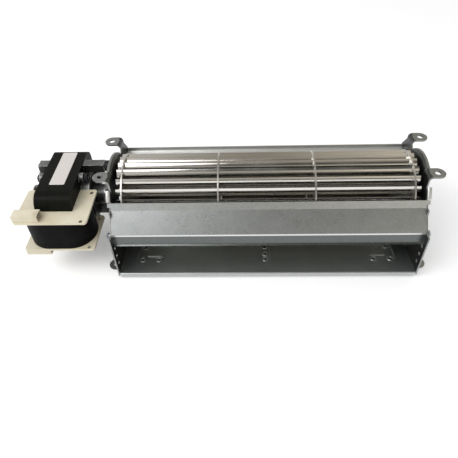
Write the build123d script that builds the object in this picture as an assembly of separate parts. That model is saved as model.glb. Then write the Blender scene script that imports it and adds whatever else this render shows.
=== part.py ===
from build123d import *
import os
from math import acos, atan2, cos, pi, radians, sin, sqrt

# Tangential (cross-flow) blower with a C-frame shaded-pole motor on its left end.
# Working frame: X along the shaft, Y to the back, Z up, zero on the shaft at mid-wheel.
# save() moves everything so that the file's origin is the centre of the four top ear holes.

# ---- Driving dimensions, millimetres ----
WHEEL_D = 60.0            # impeller discs
WHEEL_LEN = 210.0         # blades, end to end
BLADES = 25
BLADE_T = 0.5
WHEEL_PHASE = 1.2         # degrees, wheel's turn at rest
DISC_INSET = 4.0          # blade ends to the middle of an end disc
DISC_T = 1.0
SHAFT_D = 5.0
RUNNING_FIT = 0.03        # radial clearance of a shaft in its sintered bush
AIR_GAP = 0.3             # radial, rotor to stator bore

SHEET = 0.8               # scroll and tongue
PLATE_T = 1.0             # end plates
END_GAP = 3.0             # blade ends to the inside of an end plate

OUTLET_Y = -48.2          # front edge of the end plates
OUTLET_BOTTOM_Z = -39.6
FLOOR_FRONT_Z = -37.0
FLOOR_BACK = (-8.0, -40.0)
BASE_Z = -42.5            # underside of the end plates and bottom ears
REAR_LIP = (34.2, 11.8)   # where the scroll starts, behind the wheel
LIP_BACK = 3.0            # rear lip's crease to its upright flange
LIP_RISE = 2.8
HEEL = (0.85, -2.6)       # way in which the volute leaves the rear lip
VOLUTE_ARCS = 3
TONGUE_LIP = (-28.6, 14.9)
TONGUE_BREAK = (-31.4, 10.5)
TONGUE_CREASE = (-42.5, -2.5)
TONGUE_BOTTOM_Z = -11.2

EAR_W = 10.4
EAR_HOLE_D = 4.0
EAR_Z = 29.0              # top face of the four upper ears
EAR_REACH = 6.0           # an end plate's outer face to the upper ear holes
EAR_REAR_Y = 26.6
EAR_FRONT_Y = -16.7
BOTTOM_EAR_Y = -34.6

GROMMET_L = 9.0           # bracket arms to the motor's end plate
STACK = 25.4
CORE_H = 48.4
CORE_FRONT_Y = -34.7
CORE_BACK_Y = 25.0
LEG_T = 9.6               # leg that carries the coil
BOBBIN_H = 27.0
BOBBIN_W = 50.0
BOBBIN_FRONT_Y = -46.4
BOBBIN_BACK_Y = -11.6
ROTOR_R = 10.1
ARM_Y = 7.2               # bearing-bracket arms
ARM_Z = 20.4
ARM_W = 7.0
ARM_H = 6.4
ARM_REACH = 15.6          # blower-side bracket, from the stack
ARM_REACH_OUTER = 7.6     # outer bracket

# ---- Derived values ----
WHEEL_R = WHEEL_D / 2
BLADE_TIP_R = WHEEL_R - 0.7
BLADE_ROOT_R = 0.75 * BLADE_TIP_R
BLADE_TIP_ANGLE = 25.0    # blade to the tangent at its outer edge
PLATE_IN = WHEEL_LEN / 2 + END_GAP
PLATE_OUT = PLATE_IN + PLATE_T
DISC_SPAN = WHEEL_LEN - 2 * DISC_INSET
EAR_HOLE_X = PLATE_OUT + EAR_REACH
MOTOR_X = -(PLATE_OUT + GROMMET_L + ARM_REACH + STACK / 2)
EAR_MID_Y = (EAR_REAR_Y + EAR_FRONT_Y) / 2
SHAFT_R = SHAFT_D / 2
BUSH_R = SHAFT_R + RUNNING_FIT
STACK_L = MOTOR_X - STACK / 2
STACK_R = MOTOR_X + STACK / 2
LIMB_Z = BOBBIN_H / 2      # half the length of the coil's leg
LEG_BACK_Y = CORE_FRONT_Y + LEG_T
COIL_MID_Y = (BOBBIN_FRONT_Y + BOBBIN_BACK_Y) / 2
BORE_R = ROTOR_R + AIR_GAP


# ---- Smaller sizes ----
SUPPORT_BORE_R = 19.0     # open middle of the two inner rings
HUB_R = 7.0
HUB_FLANGE_R = 10.0
HUB_FLANGE_T = 1.0
SPIGOT_R = 4.0            # hub's and stub shaft's shoulder in the middle of an end disc
HUB_RIVET_R = 0.9
HUB_RIVET_PCR = 8.0
HUB_END = PLATE_IN - 0.8
SET_SCREW_R = 1.6
STUB_END = PLATE_OUT + 6.5
SHAFT_INNER_X = -DISC_SPAN / 2 + 5.0
ROTOR_RING = 3.2
WASHER_T = 0.6
WASHER_R = 4.5

FOOT_X = 87.0             # outer mounting feet, from mid-wheel
FOOT_Y = -33.2
FOOT_PITCH = 12.6
FOOT_BACK = 13.6
FOOT_W = 3.6
FOOT_DEPTH = 1.0
FOOT_COLLAR = 0.7
FOOT_HOLE_R = 1.6

TAB_FOLD = 3.0
TAB_RANGES = [((30.0, 42.0), (-4.0, 4.0), False), ((-28.0, -20.0), (-45.0, -34.0), True)]
TONGUE_SCREW = (-38.2, -7.2)
TONGUE_SCREW_R = 2.1
TONGUE_SCREW_HEAD_R = 3.4
TONGUE_SCREW_HEAD_H = 1.8
TONGUE_SCREW_POINT_R = 0.6
TONGUE_SCREW_POINT_L = 1.6
TONGUE_SCREW_REACH = 2.6   # past the end plate, before the point
CROSS_L = 3.0
CROSS_W = 0.6
TONGUE_TAB_Y = 5.0
TONGUE_TAB_Z = 3.6
TONGUE_WING_D = 3.0       # tongue's lip where it runs out through the end plate
TONGUE_WING_OUT = 1.4
SLOT_PLAY = 0.15

RIM_R = 28.6              # where the end plates start to roll outward
RIM_BEND = 1.2
RIM_REACH = 2.4
RIM_FROM = 52.0           # degrees above the back, start of the rolled rim
RIM_TO = 152.0
PLATE_LAP = 2.0
TOOTH_Z = 10.5
TOOTH_D = 3.8
NOSE_Z = -2.6
EAR_BEND = 2.0            # inside radius of the rear ears' bend
EAR_RELIEF = 0.5          # gap cut beside an ear that is folded out of the rim
BOTTOM_EAR_REACH = 11.0
EDGE_HOLE_R = 1.3
EDGE_HOLE_Y = -43.2
EDGE_HOLE_Z = -14.8
EDGE_HOLE_PITCH = 7.7
BEARING_SEAT_R = 10.0
BUSH_OUT_R = 5.5
RUBBER_IN = 1.4           # inner flange of the far bearing's rubber
RUBBER_OUT = 4.0
RUBBER_LIP_IN = 1.6
RUBBER_LIP_OUT = 2.4
RUBBER_SLOPE = 1.5
RETAINER_T = 0.5
RETAINER_BORE_GAP = 1.2
RETAINER_RIM_GAP = 2.0

CORE_FRONT_RADIUS = 10.0
CORE_BACK_RADIUS = 7.0
WINDOW_BACK_Y = BOBBIN_BACK_Y + 0.2
BOLT_R = 1.75
BOLT_HEAD_R = 3.2
BOLT_Y = 6.0
BOLT_Z = 19.8
NUT_T = 2.6
LUG_T = 3.0
LUG_R = 3.9
SHADE_R = 0.9
SHADE_NEAR = (7.0, 9.8)
SHADE_FAR = (10.6, 6.6)
COIL_W = 47.0
COIL_D = 33.8
COIL_CORNER = 16.4
TAPE_T = 0.4
SPOOL_T = 1.2
FLANGE_T = 1.6
SOCKET_H = 4.8
SOCKET_D = 7.8
SOCKET_W = 17.6
SOCKET_BACK = 6.0         # solid back of a socket
SOCKET_WALL_Y = 1.1
SOCKET_WALL_Z = 1.0
SOCKET_SET_IN = 1.0       # from the flange's front edge
TERMINAL_W = 4.0
TERMINAL_T = 0.8
TERMINAL_ROOT = 4.0
TERMINAL_SHORT = 1.2      # from its tip to the mouth of the socket
FLANGE_HOLES = [(3.2, -15.4), (3.9, -44.8)]
FLANGE_HOLE_R = 1.2
WEB_OFFSET = 6.0          # outer face of a bracket's web, from the stack
WEB_T = 1.8
CUP_R = 17.2
CUP_T = 1.8
CUP_FRONT_Y = BOBBIN_BACK_Y + 0.5
HUB_OUT_R = 7.5
HUB_LEN = 8.0
CLIP_T = 0.6
GROMMET_R = 4.2
GROMMET_NECK_R = 3.0
GROMMET_LIP = 0.9
GROMMET_SCREW_R = 1.6
GROMMET_SCREW_GRIP = 6.0
GROMMET_SCREW_HEAD_R = 3.1
GROMMET_SCREW_HEAD_H = 1.2
GROMMET_WAIST = 0.9       # groove round the middle of a grommet
GROMMET_EASE = 0.8        # chamfered end of a grommet
GROMMET_COLLAR = 3.2
GROMMET_FLANGE = 1.8
SLEEVE_R = 2.1
LABEL_W = 10.7
LABEL_L = 38.0
LABEL_T = 0.15
SHAFT_OUTER_X = STACK_L - WEB_OFFSET - HUB_LEN - 1.6


# ---- Helpers ----
def cyl_x(x0, x1, r, y=0.0, z=0.0):
    """Cylinder along X from x0 to x1."""
    return Pos((x0 + x1) / 2, y, z) * Rot(0, 90, 0) * Cylinder(r, abs(x1 - x0))


def cyl_z(z0, z1, r, x=0.0, y=0.0):
    """Cylinder along Z from z0 to z1."""
    return Pos(x, y, (z0 + z1) / 2) * Cylinder(r, abs(z1 - z0))


def block(x0, x1, y0, y1, z0, z1):
    """Box given by its faces."""
    return Pos((x0 + x1) / 2, (y0 + y1) / 2, (z0 + z1) / 2) * Box(abs(x1 - x0), abs(y1 - y0), abs(z1 - z0))


def yz_prism(edges, x0, x1):
    """Solid whose section in the YZ plane is bounded by edges, from x0 to x1."""
    face = make_face([Plane.YZ * edge for edge in edges])
    return Pos(x0, 0, 0) * extrude(face, amount=x1 - x0, dir=(1, 0, 0))


def xz_prism(points, y0, y1):
    """Solid whose section in the XZ plane is a polygon, from y0 to y1."""
    outline = Polyline(*[(x, y0, z) for x, z in points], close=True)
    return extrude(make_face(outline), amount=y1 - y0, dir=(0, 1, 0))


def ring_x(x0, x1, r_in, r_out, y=0.0, z=0.0):
    return cyl_x(x0, x1, r_out, y, z) - cyl_x(x0 - 1, x1 + 1, r_in, y, z)


def turned_x(profile):
    """Solid of revolution about the shaft from (x, radius) corners."""
    face = make_face(Polyline(*[(x, r, 0) for x, r in profile], close=True))
    return revolve(face, Axis.X, 360)


def mirror_x(shape):
    return mirror(shape, Plane.YZ)


def save(name, shape):
    placed = Pos(0, -EAR_MID_Y, -EAR_Z) * shape
    parts = placed.solids()
    body = parts[0] if len(parts) == 1 else Compound(parts)
    body.label = name
    export_step(body, f"parts/{name}.step")


# ---- Impeller ----
def blade_arc():
    """Middle line of a forward-curved blade, radial at its root: (point finder, bend radius, turn)."""
    tip, root = BLADE_TIP_R, BLADE_ROOT_R
    bend = (tip**2 - root**2) / (2 * tip * cos(radians(BLADE_TIP_ANGLE)))
    centre = sqrt(root**2 + bend**2)
    start = -pi / 2
    end = atan2(bend, root) - acos((tip**2 - centre**2 - bend**2) / (2 * centre * bend))

    def at(radius, share):
        angle = start + (end - start) * share
        return (root + radius * cos(angle), -(bend + radius * sin(angle)))

    return at, bend, end - start


def blade(x0, x1):
    """One blade: a thin circular arc."""
    at, bend, _ = blade_arc()
    inner, outer = bend - BLADE_T / 2, bend + BLADE_T / 2
    edges = [
        ThreePointArc(at(inner, 0), at(inner, 0.5), at(inner, 1)),
        Line(at(inner, 1), at(outer, 1)),
        ThreePointArc(at(outer, 1), at(outer, 0.5), at(outer, 0)),
        Line(at(outer, 0), at(inner, 0)),
    ]
    return yz_prism(edges, x0, x1)


def blade_slot(x0, x1):
    """Punched slot for one blade: straight sides that touch the blade's two faces."""
    at, bend, turn = blade_arc()
    inner, outer = bend - BLADE_T / 2, bend + BLADE_T / 2
    corner = outer / cos(turn / 4)
    outline = Polyline(
        at(inner, 0), at(inner, 0.5), at(inner, 1), at(outer, 1), at(corner, 0.75), at(corner, 0.25),
        at(outer, 0), close=True)
    return yz_prism(outline.edges(), x0, x1)


def round_wheel(shape):
    return [Rot(i * 360 / BLADES + WHEEL_PHASE, 0, 0) * shape for i in range(BLADES)]


def slotted_disc(x_mid, bore_r):
    """Disc with the slots that the blades are pushed through."""
    disc = ring_x(x_mid - DISC_T / 2, x_mid + DISC_T / 2, bore_r, WHEEL_R)
    return disc - round_wheel(blade_slot(x_mid - DISC_T, x_mid + DISC_T))


def rivet_circle(make):
    """Three copies of what make() returns, round the shaft."""
    return [Rot(60 + i * 120, 0, 0) * make() for i in range(3)]


def hub_rivet():
    """Rivet through a hub's flange and the right-hand end disc."""
    inner, outer = DISC_SPAN / 2 - DISC_T / 2, DISC_SPAN / 2 + DISC_T / 2 + HUB_FLANGE_T
    shank = cyl_x(inner, outer, HUB_RIVET_R, 0, HUB_RIVET_PCR)
    tail = cyl_x(inner - 0.8, inner, HUB_RIVET_R + 1, 0, HUB_RIVET_PCR)
    return shank + tail + cyl_x(outer, outer + 0.8, HUB_RIVET_R + 1, 0, HUB_RIVET_PCR)


def impeller():
    save("impeller_blades", Compound(round_wheel(blade(-WHEEL_LEN / 2, WHEEL_LEN / 2))))
    end = DISC_SPAN / 2
    end_disc = slotted_disc(end, SPIGOT_R) - rivet_circle(hub_rivet)
    save("motor_end_disc", mirror_x(end_disc))
    save("support_ring_left", slotted_disc(-end / 3, SUPPORT_BORE_R))
    save("support_ring_right", slotted_disc(end / 3, SUPPORT_BORE_R))
    save("far_end_disc", end_disc)


def drive_parts():
    """Hub, rivets, shaft and set screw at the motor's end, and the stub shaft at the far end."""
    disc_x = DISC_SPAN / 2
    face = disc_x + DISC_T / 2
    rivets_far = rivet_circle(hub_rivet)
    rivets_motor = [mirror_x(rivet) for rivet in rivets_far]

    hub = turned_x([
        (-face, SHAFT_R), (-face, HUB_FLANGE_R), (-face - HUB_FLANGE_T, HUB_FLANGE_R),
        (-face - HUB_FLANGE_T, HUB_R), (-HUB_END, HUB_R), (-HUB_END, SHAFT_R),
    ])
    spigot = ring_x(-face, -face + DISC_T, SHAFT_R, SPIGOT_R)
    screw_x = -(face + HUB_FLANGE_T + HUB_END) / 2
    screw = cyl_z(SHAFT_R, HUB_R - 0.4, SET_SCREW_R, screw_x)
    socket = Pos(screw_x, 0, HUB_R - 1.3) * extrude(RegularPolygon(1.0, 6), amount=1.2)
    tapped = cyl_z(0, HUB_R + 1, SET_SCREW_R, screw_x)
    shaft_space = cyl_x(-HUB_END - 1, 0, SHAFT_R)
    save("drive_hub", hub + spigot - tapped - rivets_motor - shaft_space)
    save("hub_set_screw", screw - socket - shaft_space)

    stub = turned_x([
        (face, 0), (face, HUB_FLANGE_R), (face + HUB_FLANGE_T, HUB_FLANGE_R),
        (face + HUB_FLANGE_T, SHAFT_R), (STUB_END - 0.5, SHAFT_R), (STUB_END, SHAFT_R - 0.5), (STUB_END, 0),
    ])
    stub_spigot = cyl_x(face - DISC_T, face, SPIGOT_R)
    save("far_stub_shaft", stub + stub_spigot - rivets_far)
    save("motor_hub_rivets", Compound(rivets_motor))
    save("far_hub_rivets", Compound(rivets_far))

    shaft = cyl_x(SHAFT_OUTER_X, SHAFT_INNER_X, SHAFT_R)
    shaft = chamfer(shaft.edges().filter_by(GeomType.CIRCLE), 0.4)
    save("motor_shaft", shaft)


def rotor():
    """Squirrel-cage rotor and the nylon washers that take up its end play."""
    ring_r = ROTOR_R - 0.6
    body = turned_x([
        (STACK_L - ROTOR_RING, SHAFT_R), (STACK_L - ROTOR_RING, ring_r), (STACK_L, ring_r),
        (STACK_L, ROTOR_R), (STACK_R, ROTOR_R), (STACK_R, ring_r),
        (STACK_R + ROTOR_RING, ring_r), (STACK_R + ROTOR_RING, SHAFT_R),
    ])
    save("rotor", body)
    washers = [
        ring_x(STACK_L - ROTOR_RING - WASHER_T, STACK_L - ROTOR_RING, SHAFT_R, WASHER_R),
        ring_x(STACK_R + ROTOR_RING, STACK_R + ROTOR_RING + WASHER_T, SHAFT_R, WASHER_R),
    ]
    save("rotor_thrust_washers", Compound(washers))


# ---- Scroll housing and tongue ----
def sheet(path, x0, x1):
    """Folded sheet whose shown face follows path; its thickness goes to the path's left."""
    strip = make_face(offset(path, SHEET, side=Side.LEFT))
    turned = Plane.YZ * strip
    return Pos(x0, 0, 0) * extrude(turned, amount=x1 - x0, dir=(1, 0, 0))


def scroll_path():
    """Rear lip, three tangent arcs of a volute round the wheel, floor, and the turned-down front lip."""
    y0, z0 = REAR_LIP
    lip_y, lip_z = y0 + LIP_BACK, z0 + 0.6
    start = Vector(y0 + HEEL[0], z0 + HEEL[1])
    lip = FilletPolyline((lip_y, lip_z + LIP_RISE), (lip_y, lip_z), (y0, z0), (start.X, start.Y), radius=0.5)
    end = Vector(*FLOOR_BACK)
    sweep = -(start.get_angle(Vector(0, -1)) + Vector(0, -1).get_angle(end))
    first = atan2(start.Y, start.X)
    heading = Vector(*HEEL)
    corner = start
    arcs = []
    for step in range(1, VOLUTE_ARCS + 1):
        share = step / VOLUTE_ARCS
        angle = first + radians(sweep) * share
        r = start.length + (end.length - start.length) * share
        arcs.append(TangentArc(corner, Vector(r * cos(angle), r * sin(angle)), tangent=heading))
        corner, heading = arcs[-1] @ 1, arcs[-1] % 1
    front = FilletPolyline(
        FLOOR_BACK, (OUTLET_Y, FLOOR_FRONT_Z), (OUTLET_Y, OUTLET_BOTTOM_Z), radius=0.9)
    return Wire([*lip.edges(), *arcs, *front.edges()])


def floor_plane(x, y):
    """Plane on the scroll's floor at (x, y), with its normal up into the channel."""
    slope = (FLOOR_FRONT_Z - FLOOR_BACK[1]) / (OUTLET_Y - FLOOR_BACK[0])
    z = FLOOR_BACK[1] + slope * (y - FLOOR_BACK[0])
    return Plane(origin=(x, y, z), x_dir=(1, 0, 0), z_dir=(0, -slope, 1))


def foot_outline(arms, half_w):
    """Rounded footprint: one slot-shaped arm for each pair of points."""
    shape = None
    for (x0, y0), (x1, y1) in arms:
        length = sqrt((x1 - x0) ** 2 + (y1 - y0) ** 2)
        turn = atan2(y1 - y0, x1 - x0) * 180 / pi
        arm = Pos((x0 + x1) / 2, (y0 + y1) / 2) * Rot(0, 0, turn) * SlotCenterToCenter(length, 2 * half_w)
        shape = arm if shape is None else shape + arm
    return shape


def mounting_foot(x, y, arms, holes):
    """Pressed foot under the floor: what it adds below and what it takes out above."""
    place = floor_plane(x, y)
    pad = extrude(place * foot_outline(arms, FOOT_W + SHEET), amount=-(FOOT_DEPTH + SHEET), taper=20)
    recess = extrude(place * foot_outline(arms, FOOT_W), amount=-FOOT_DEPTH, taper=20)
    for hx, hy in holes:
        at = place * Pos(hx, hy)
        pad += at * Pos(0, 0, -(FOOT_DEPTH + SHEET + FOOT_COLLAR) / 2) * Cylinder(
            FOOT_HOLE_R + 0.6, FOOT_DEPTH + SHEET + FOOT_COLLAR)
        recess += at * Cylinder(FOOT_HOLE_R, 12)
    return pad, recess


def housing_tabs():
    """Tabs at the right end that go through the end plate and fold inward over it: [(tab, slot)]."""
    strip = sheet(scroll_path(), PLATE_IN, PLATE_OUT + SHEET)
    tabs = []
    for (y0, y1), (z0, z1), folds_up in TAB_RANGES:
        through = strip & block(PLATE_IN, PLATE_OUT + SHEET, y0, y1, z0, z1)
        box = through.bounding_box()
        fold_y, fold_z = (box.min.Y - TAB_FOLD, box.min.Y + 0.75 * SHEET), (z0, z1)
        if folds_up:
            fold_y, fold_z = (y0, y1), (box.max.Z - 0.75 * SHEET, box.max.Z + TAB_FOLD)
        fold = block(PLATE_OUT, PLATE_OUT + SHEET, *fold_y, *fold_z)
        slot = block(PLATE_IN - 1, PLATE_OUT + 1, box.min.Y - SLOT_PLAY, box.max.Y + SLOT_PLAY,
                     box.min.Z - SLOT_PLAY, box.max.Z + SLOT_PLAY)
        tabs.append((through + fold, slot))
    return tabs


def scroll_housing():
    shell = sheet(scroll_path(), -PLATE_IN, PLATE_IN)
    corner, right, back = (-FOOT_PITCH / 2, 0), (FOOT_PITCH / 2, 0), (-FOOT_PITCH / 2, FOOT_BACK)
    side_arms = [(corner, right), (corner, back)]
    side_holes = [corner, right, back]
    mid_arms = [((0, 0), (0, FOOT_BACK))]
    mid_holes = [(0, 0), (0, 0.42 * FOOT_BACK), (0, FOOT_BACK)]
    flip = [((-a[0], a[1]), (-b[0], b[1])) for a, b in side_arms]
    flip_holes = [(-hx, hy) for hx, hy in side_holes]
    feet = [
        (-FOOT_X, FOOT_Y, side_arms, side_holes),
        (FOOT_X, FOOT_Y, flip, flip_holes),
        (0, FOOT_Y, mid_arms, mid_holes),
    ]
    pads, recesses = zip(*[mounting_foot(*foot) for foot in feet])
    shell = shell + list(pads) - list(recesses)
    for tab, _ in housing_tabs():
        shell = shell + tab + mirror_x(tab)
    save("scroll_housing", shell)


def tongue_path():
    return FilletPolyline(
        TONGUE_LIP, TONGUE_BREAK, TONGUE_CREASE, (TONGUE_CREASE[0], TONGUE_BOTTOM_Z),
        (TONGUE_CREASE[0] - 1.1, TONGUE_BOTTOM_Z - 0.9), radius=0.7)


def tongue_screw_parts():
    """Self-tapping screw from inside the channel through the tongue's end tab and the end plate."""
    y, z = TONGUE_SCREW
    inner = PLATE_IN - SHEET
    top = inner - TONGUE_SCREW_HEAD_H
    head = cyl_x(top, inner, TONGUE_SCREW_HEAD_R, y, z)
    head = chamfer(head.edges().group_by(Axis.X)[0], CROSS_W)
    depth = top + TONGUE_SCREW_HEAD_H / 2
    cross = block(top, depth, y - CROSS_L / 2, y + CROSS_L / 2, z - CROSS_W / 2, z + CROSS_W / 2)
    cross += block(top, depth, y - CROSS_W / 2, y + CROSS_W / 2, z - CROSS_L / 2, z + CROSS_L / 2)
    shank_end = PLATE_OUT + TONGUE_SCREW_REACH
    shank = cyl_x(inner, shank_end, TONGUE_SCREW_R, y, z)
    tip = Pos(shank_end + TONGUE_SCREW_POINT_L / 2, y, z) * Rot(0, 90, 0) * Cone(
        TONGUE_SCREW_R, TONGUE_SCREW_POINT_R, TONGUE_SCREW_POINT_L)
    return head - cross + shank + tip


def tongue_plate():
    body = sheet(tongue_path(), -PLATE_IN, PLATE_IN)
    y, z = TONGUE_SCREW
    tab = block(PLATE_IN - SHEET, PLATE_IN, TONGUE_CREASE[0] + SHEET, y + TONGUE_TAB_Y,
                z - TONGUE_TAB_Z, z + TONGUE_TAB_Z)
    lip_y, lip_z = TONGUE_LIP
    slope = atan2(TONGUE_LIP[1] - TONGUE_BREAK[1], TONGUE_LIP[0] - TONGUE_BREAK[0]) * 180 / pi
    wing = Pos(0, lip_y, lip_z) * Rot(slope, 0, 0) * block(
        PLATE_IN, PLATE_OUT + TONGUE_WING_OUT, -TONGUE_WING_D, 0, -SHEET, 0)
    for side in (tab + wing, mirror_x(tab + wing)):
        body += side
    screw = tongue_screw_parts()
    save("tongue_plate", body - screw - mirror_x(screw))
    save("tongue_screws", Compound([screw, mirror_x(screw)]))


# ---- End plates ----
def plate_outline():
    """Face of an end plate: nose, stepped front, arc over the wheel, rear ear's neck, rounded bottom."""
    incline = (TONGUE_CREASE[0] - TONGUE_BREAK[0]) / (TONGUE_CREASE[1] - TONGUE_BREAK[1])

    def on_incline(z):
        return TONGUE_BREAK[0] + incline * (z - TONGUE_BREAK[1])

    rim = [
        (RIM_R * cos(radians(a)), RIM_R * sin(radians(a)))
        for a in (RIM_TO, (RIM_FROM + RIM_TO) / 2, RIM_FROM)]
    back_y = REAR_LIP[0] + LIP_BACK + SHEET + PLATE_LAP
    lip_top = REAR_LIP[1] + 0.6 + LIP_RISE
    neck_front = EAR_REAR_Y - EAR_W / 2
    neck_back = EAR_REAR_Y + EAR_W / 2
    fold_z = EAR_Z - EAR_BEND - PLATE_T
    belly = radians(-48)
    edges = [
        Polyline(
            rim[0], (TONGUE_LIP[0] - 0.3, TONGUE_LIP[1] + 0.6), (on_incline(TOOTH_Z), TOOTH_Z),
            (on_incline(TOOTH_Z) - TOOTH_D, TOOTH_Z), (on_incline(TOOTH_Z) - TOOTH_D, TOOTH_Z - 4.6),
            (on_incline(NOSE_Z) - 0.2, NOSE_Z), (OUTLET_Y, NOSE_Z), (OUTLET_Y, OUTLET_BOTTOM_Z),
            (OUTLET_Y + 5.0, BASE_Z), (0.0, BASE_Z)),
        ThreePointArc((0.0, BASE_Z), (back_y * cos(belly), -BASE_Z * sin(belly)), (back_y, 0.0)),
        Polyline(
            (back_y, 0.0), (back_y, lip_top - 2.5), (back_y - 1.2, lip_top + 0.6), (neck_back, fold_z - 1.5),
            (neck_back, fold_z), (neck_front, fold_z), rim[2]),
        ThreePointArc(rim[2], rim[1], rim[0]),
    ]
    return edges


def rim_flange():
    """Rolled rim over the wheel, turned outward on the right end plate."""
    mid_r = RIM_R
    arc = RIM_BEND
    outer = [
        Line((PLATE_IN, mid_r), (PLATE_OUT, mid_r)),
        ThreePointArc((PLATE_OUT, mid_r), (PLATE_OUT + arc * (1 - cos(pi / 4)), mid_r + arc * sin(pi / 4)),
                      (PLATE_OUT + arc, mid_r + arc)),
        Line((PLATE_OUT + arc, mid_r + arc), (PLATE_OUT + RIM_REACH, mid_r + arc)),
        Line((PLATE_OUT + RIM_REACH, mid_r + arc), (PLATE_OUT + RIM_REACH, mid_r + arc + PLATE_T)),
        Line((PLATE_OUT + RIM_REACH, mid_r + arc + PLATE_T), (PLATE_OUT + arc, mid_r + arc + PLATE_T)),
        ThreePointArc(
            (PLATE_OUT + arc, mid_r + arc + PLATE_T),
            (PLATE_OUT + arc - (arc + PLATE_T) * sin(pi / 4), mid_r + (arc + PLATE_T) * sin(pi / 4)),
            (PLATE_IN, mid_r)),
    ]
    face = make_face(outer)
    swept = revolve(face, Axis.X, RIM_TO - RIM_FROM)
    return Rot(RIM_FROM, 0, 0) * swept


def upper_ear(y):
    """Ear folded outward from the plate: a quarter bend and a flat tongue with a rounded end."""
    outer_r = EAR_BEND + PLATE_T
    tube = cyl_along_y(y, outer_r, EAR_W) - cyl_along_y(y, EAR_BEND, EAR_W + 2)
    quarter = block(-outer_r - 1, 0, y - EAR_W, y + EAR_W, 0, outer_r + 1)
    folded = Pos(PLATE_IN + outer_r, 0, EAR_Z - outer_r) * (tube & quarter)
    flat = block(PLATE_IN + outer_r, EAR_HOLE_X, y - EAR_W / 2, y + EAR_W / 2, EAR_Z - PLATE_T, EAR_Z)
    flat += cyl_z(EAR_Z - PLATE_T, EAR_Z, EAR_W / 2, EAR_HOLE_X, y)
    hole = cyl_z(EAR_Z - PLATE_T - 1, EAR_Z + 1, EAR_HOLE_D / 2, EAR_HOLE_X, y)
    return folded + flat - hole


def lower_ear(y):
    """Ear folded outward at the foot of the plate, with its underside on the base plane."""
    x_hole = PLATE_IN + BOTTOM_EAR_REACH - EAR_W / 2
    flat = block(PLATE_IN, x_hole, y - EAR_W / 2, y + EAR_W / 2, BASE_Z, BASE_Z + PLATE_T)
    flat += cyl_z(BASE_Z, BASE_Z + PLATE_T, EAR_W / 2, x_hole, y)
    return flat - cyl_z(BASE_Z - 1, BASE_Z + 2, EAR_HOLE_D / 2, x_hole, y)


def cyl_along_y(y, r, length):
    return Pos(0, y, 0) * Rot(90, 0, 0) * Cylinder(r, length)


def end_plate(centre_hole_r, grommet_holes):
    """Right-hand end plate; the motor's end is its mirror image with other holes."""
    plate = yz_prism(plate_outline(), PLATE_IN, PLATE_OUT)
    plate += rim_flange()

    relief = EAR_W / 2 + EAR_RELIEF
    fold_z = EAR_Z - EAR_BEND - PLATE_T
    plate -= block(PLATE_OUT, PLATE_OUT + RIM_REACH + 1, EAR_FRONT_Y - relief, EAR_FRONT_Y + relief,
                   0, EAR_Z + 1)
    plate += block(PLATE_IN, PLATE_OUT, EAR_FRONT_Y - EAR_W / 2, EAR_FRONT_Y + EAR_W / 2, 0, fold_z)
    plate -= block(PLATE_IN - 1, PLATE_OUT + 1, EAR_FRONT_Y - relief, EAR_FRONT_Y + relief, fold_z, EAR_Z + 1)
    plate = plate + upper_ear(EAR_REAR_Y) + upper_ear(EAR_FRONT_Y) + lower_ear(BOTTOM_EAR_Y)
    plate -= cyl_x(PLATE_IN - 1, PLATE_OUT + 1, centre_hole_r)
    for y, z in grommet_holes:
        plate -= cyl_x(PLATE_IN - 1, PLATE_OUT + 1, GROMMET_NECK_R, y, z)
    for i in range(3):
        z = EDGE_HOLE_Z - i * EDGE_HOLE_PITCH
        plate -= cyl_x(PLATE_IN - 1, PLATE_OUT + 1, EDGE_HOLE_R, EDGE_HOLE_Y, z)
    return plate


def end_plates():
    screw = tongue_screw_parts()
    lip_y, lip_z = TONGUE_LIP
    slope = atan2(TONGUE_LIP[1] - TONGUE_BREAK[1], TONGUE_LIP[0] - TONGUE_BREAK[0]) * 180 / pi
    notch = Pos(0, lip_y, lip_z) * Rot(slope, 0, 0) * block(
        PLATE_IN - 1, PLATE_OUT + 1, -TONGUE_WING_D - SLOT_PLAY, 2.0, -SHEET - SLOT_PLAY, 3.0)
    arms = [(ARM_Y, ARM_Z), (ARM_Y, -ARM_Z)]
    cuts = [screw, notch] + [slot for _, slot in housing_tabs()]
    far = end_plate(BEARING_SEAT_R, []) - cuts
    near = end_plate(HUB_R + 2.0, arms) - cuts
    save("far_end_plate", far)
    save("motor_end_plate", mirror_x(near))


def far_bearing():
    """Rubber ring in the far end plate, with a sintered bush and its spring retainer."""
    x_in, x_out = PLATE_IN - RUBBER_IN, PLATE_OUT + RUBBER_OUT
    lip_in, lip_out = BEARING_SEAT_R + RUBBER_LIP_IN, BEARING_SEAT_R + RUBBER_LIP_OUT
    rubber = turned_x([
        (x_in, BUSH_OUT_R), (x_in, lip_in), (PLATE_IN, lip_in), (PLATE_IN, BEARING_SEAT_R),
        (PLATE_OUT, BEARING_SEAT_R), (PLATE_OUT, lip_out), (x_out - RUBBER_SLOPE, lip_out),
        (x_out, BEARING_SEAT_R), (x_out, BUSH_OUT_R),
    ])
    save("far_bearing_rubber", rubber)
    save("far_bearing_bush", ring_x(x_in, x_out, BUSH_R, BUSH_OUT_R))
    save("far_bearing_retainer", ring_x(
        x_out, x_out + RETAINER_T, SHAFT_R + RETAINER_BORE_GAP, BEARING_SEAT_R - RETAINER_RIM_GAP))


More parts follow.
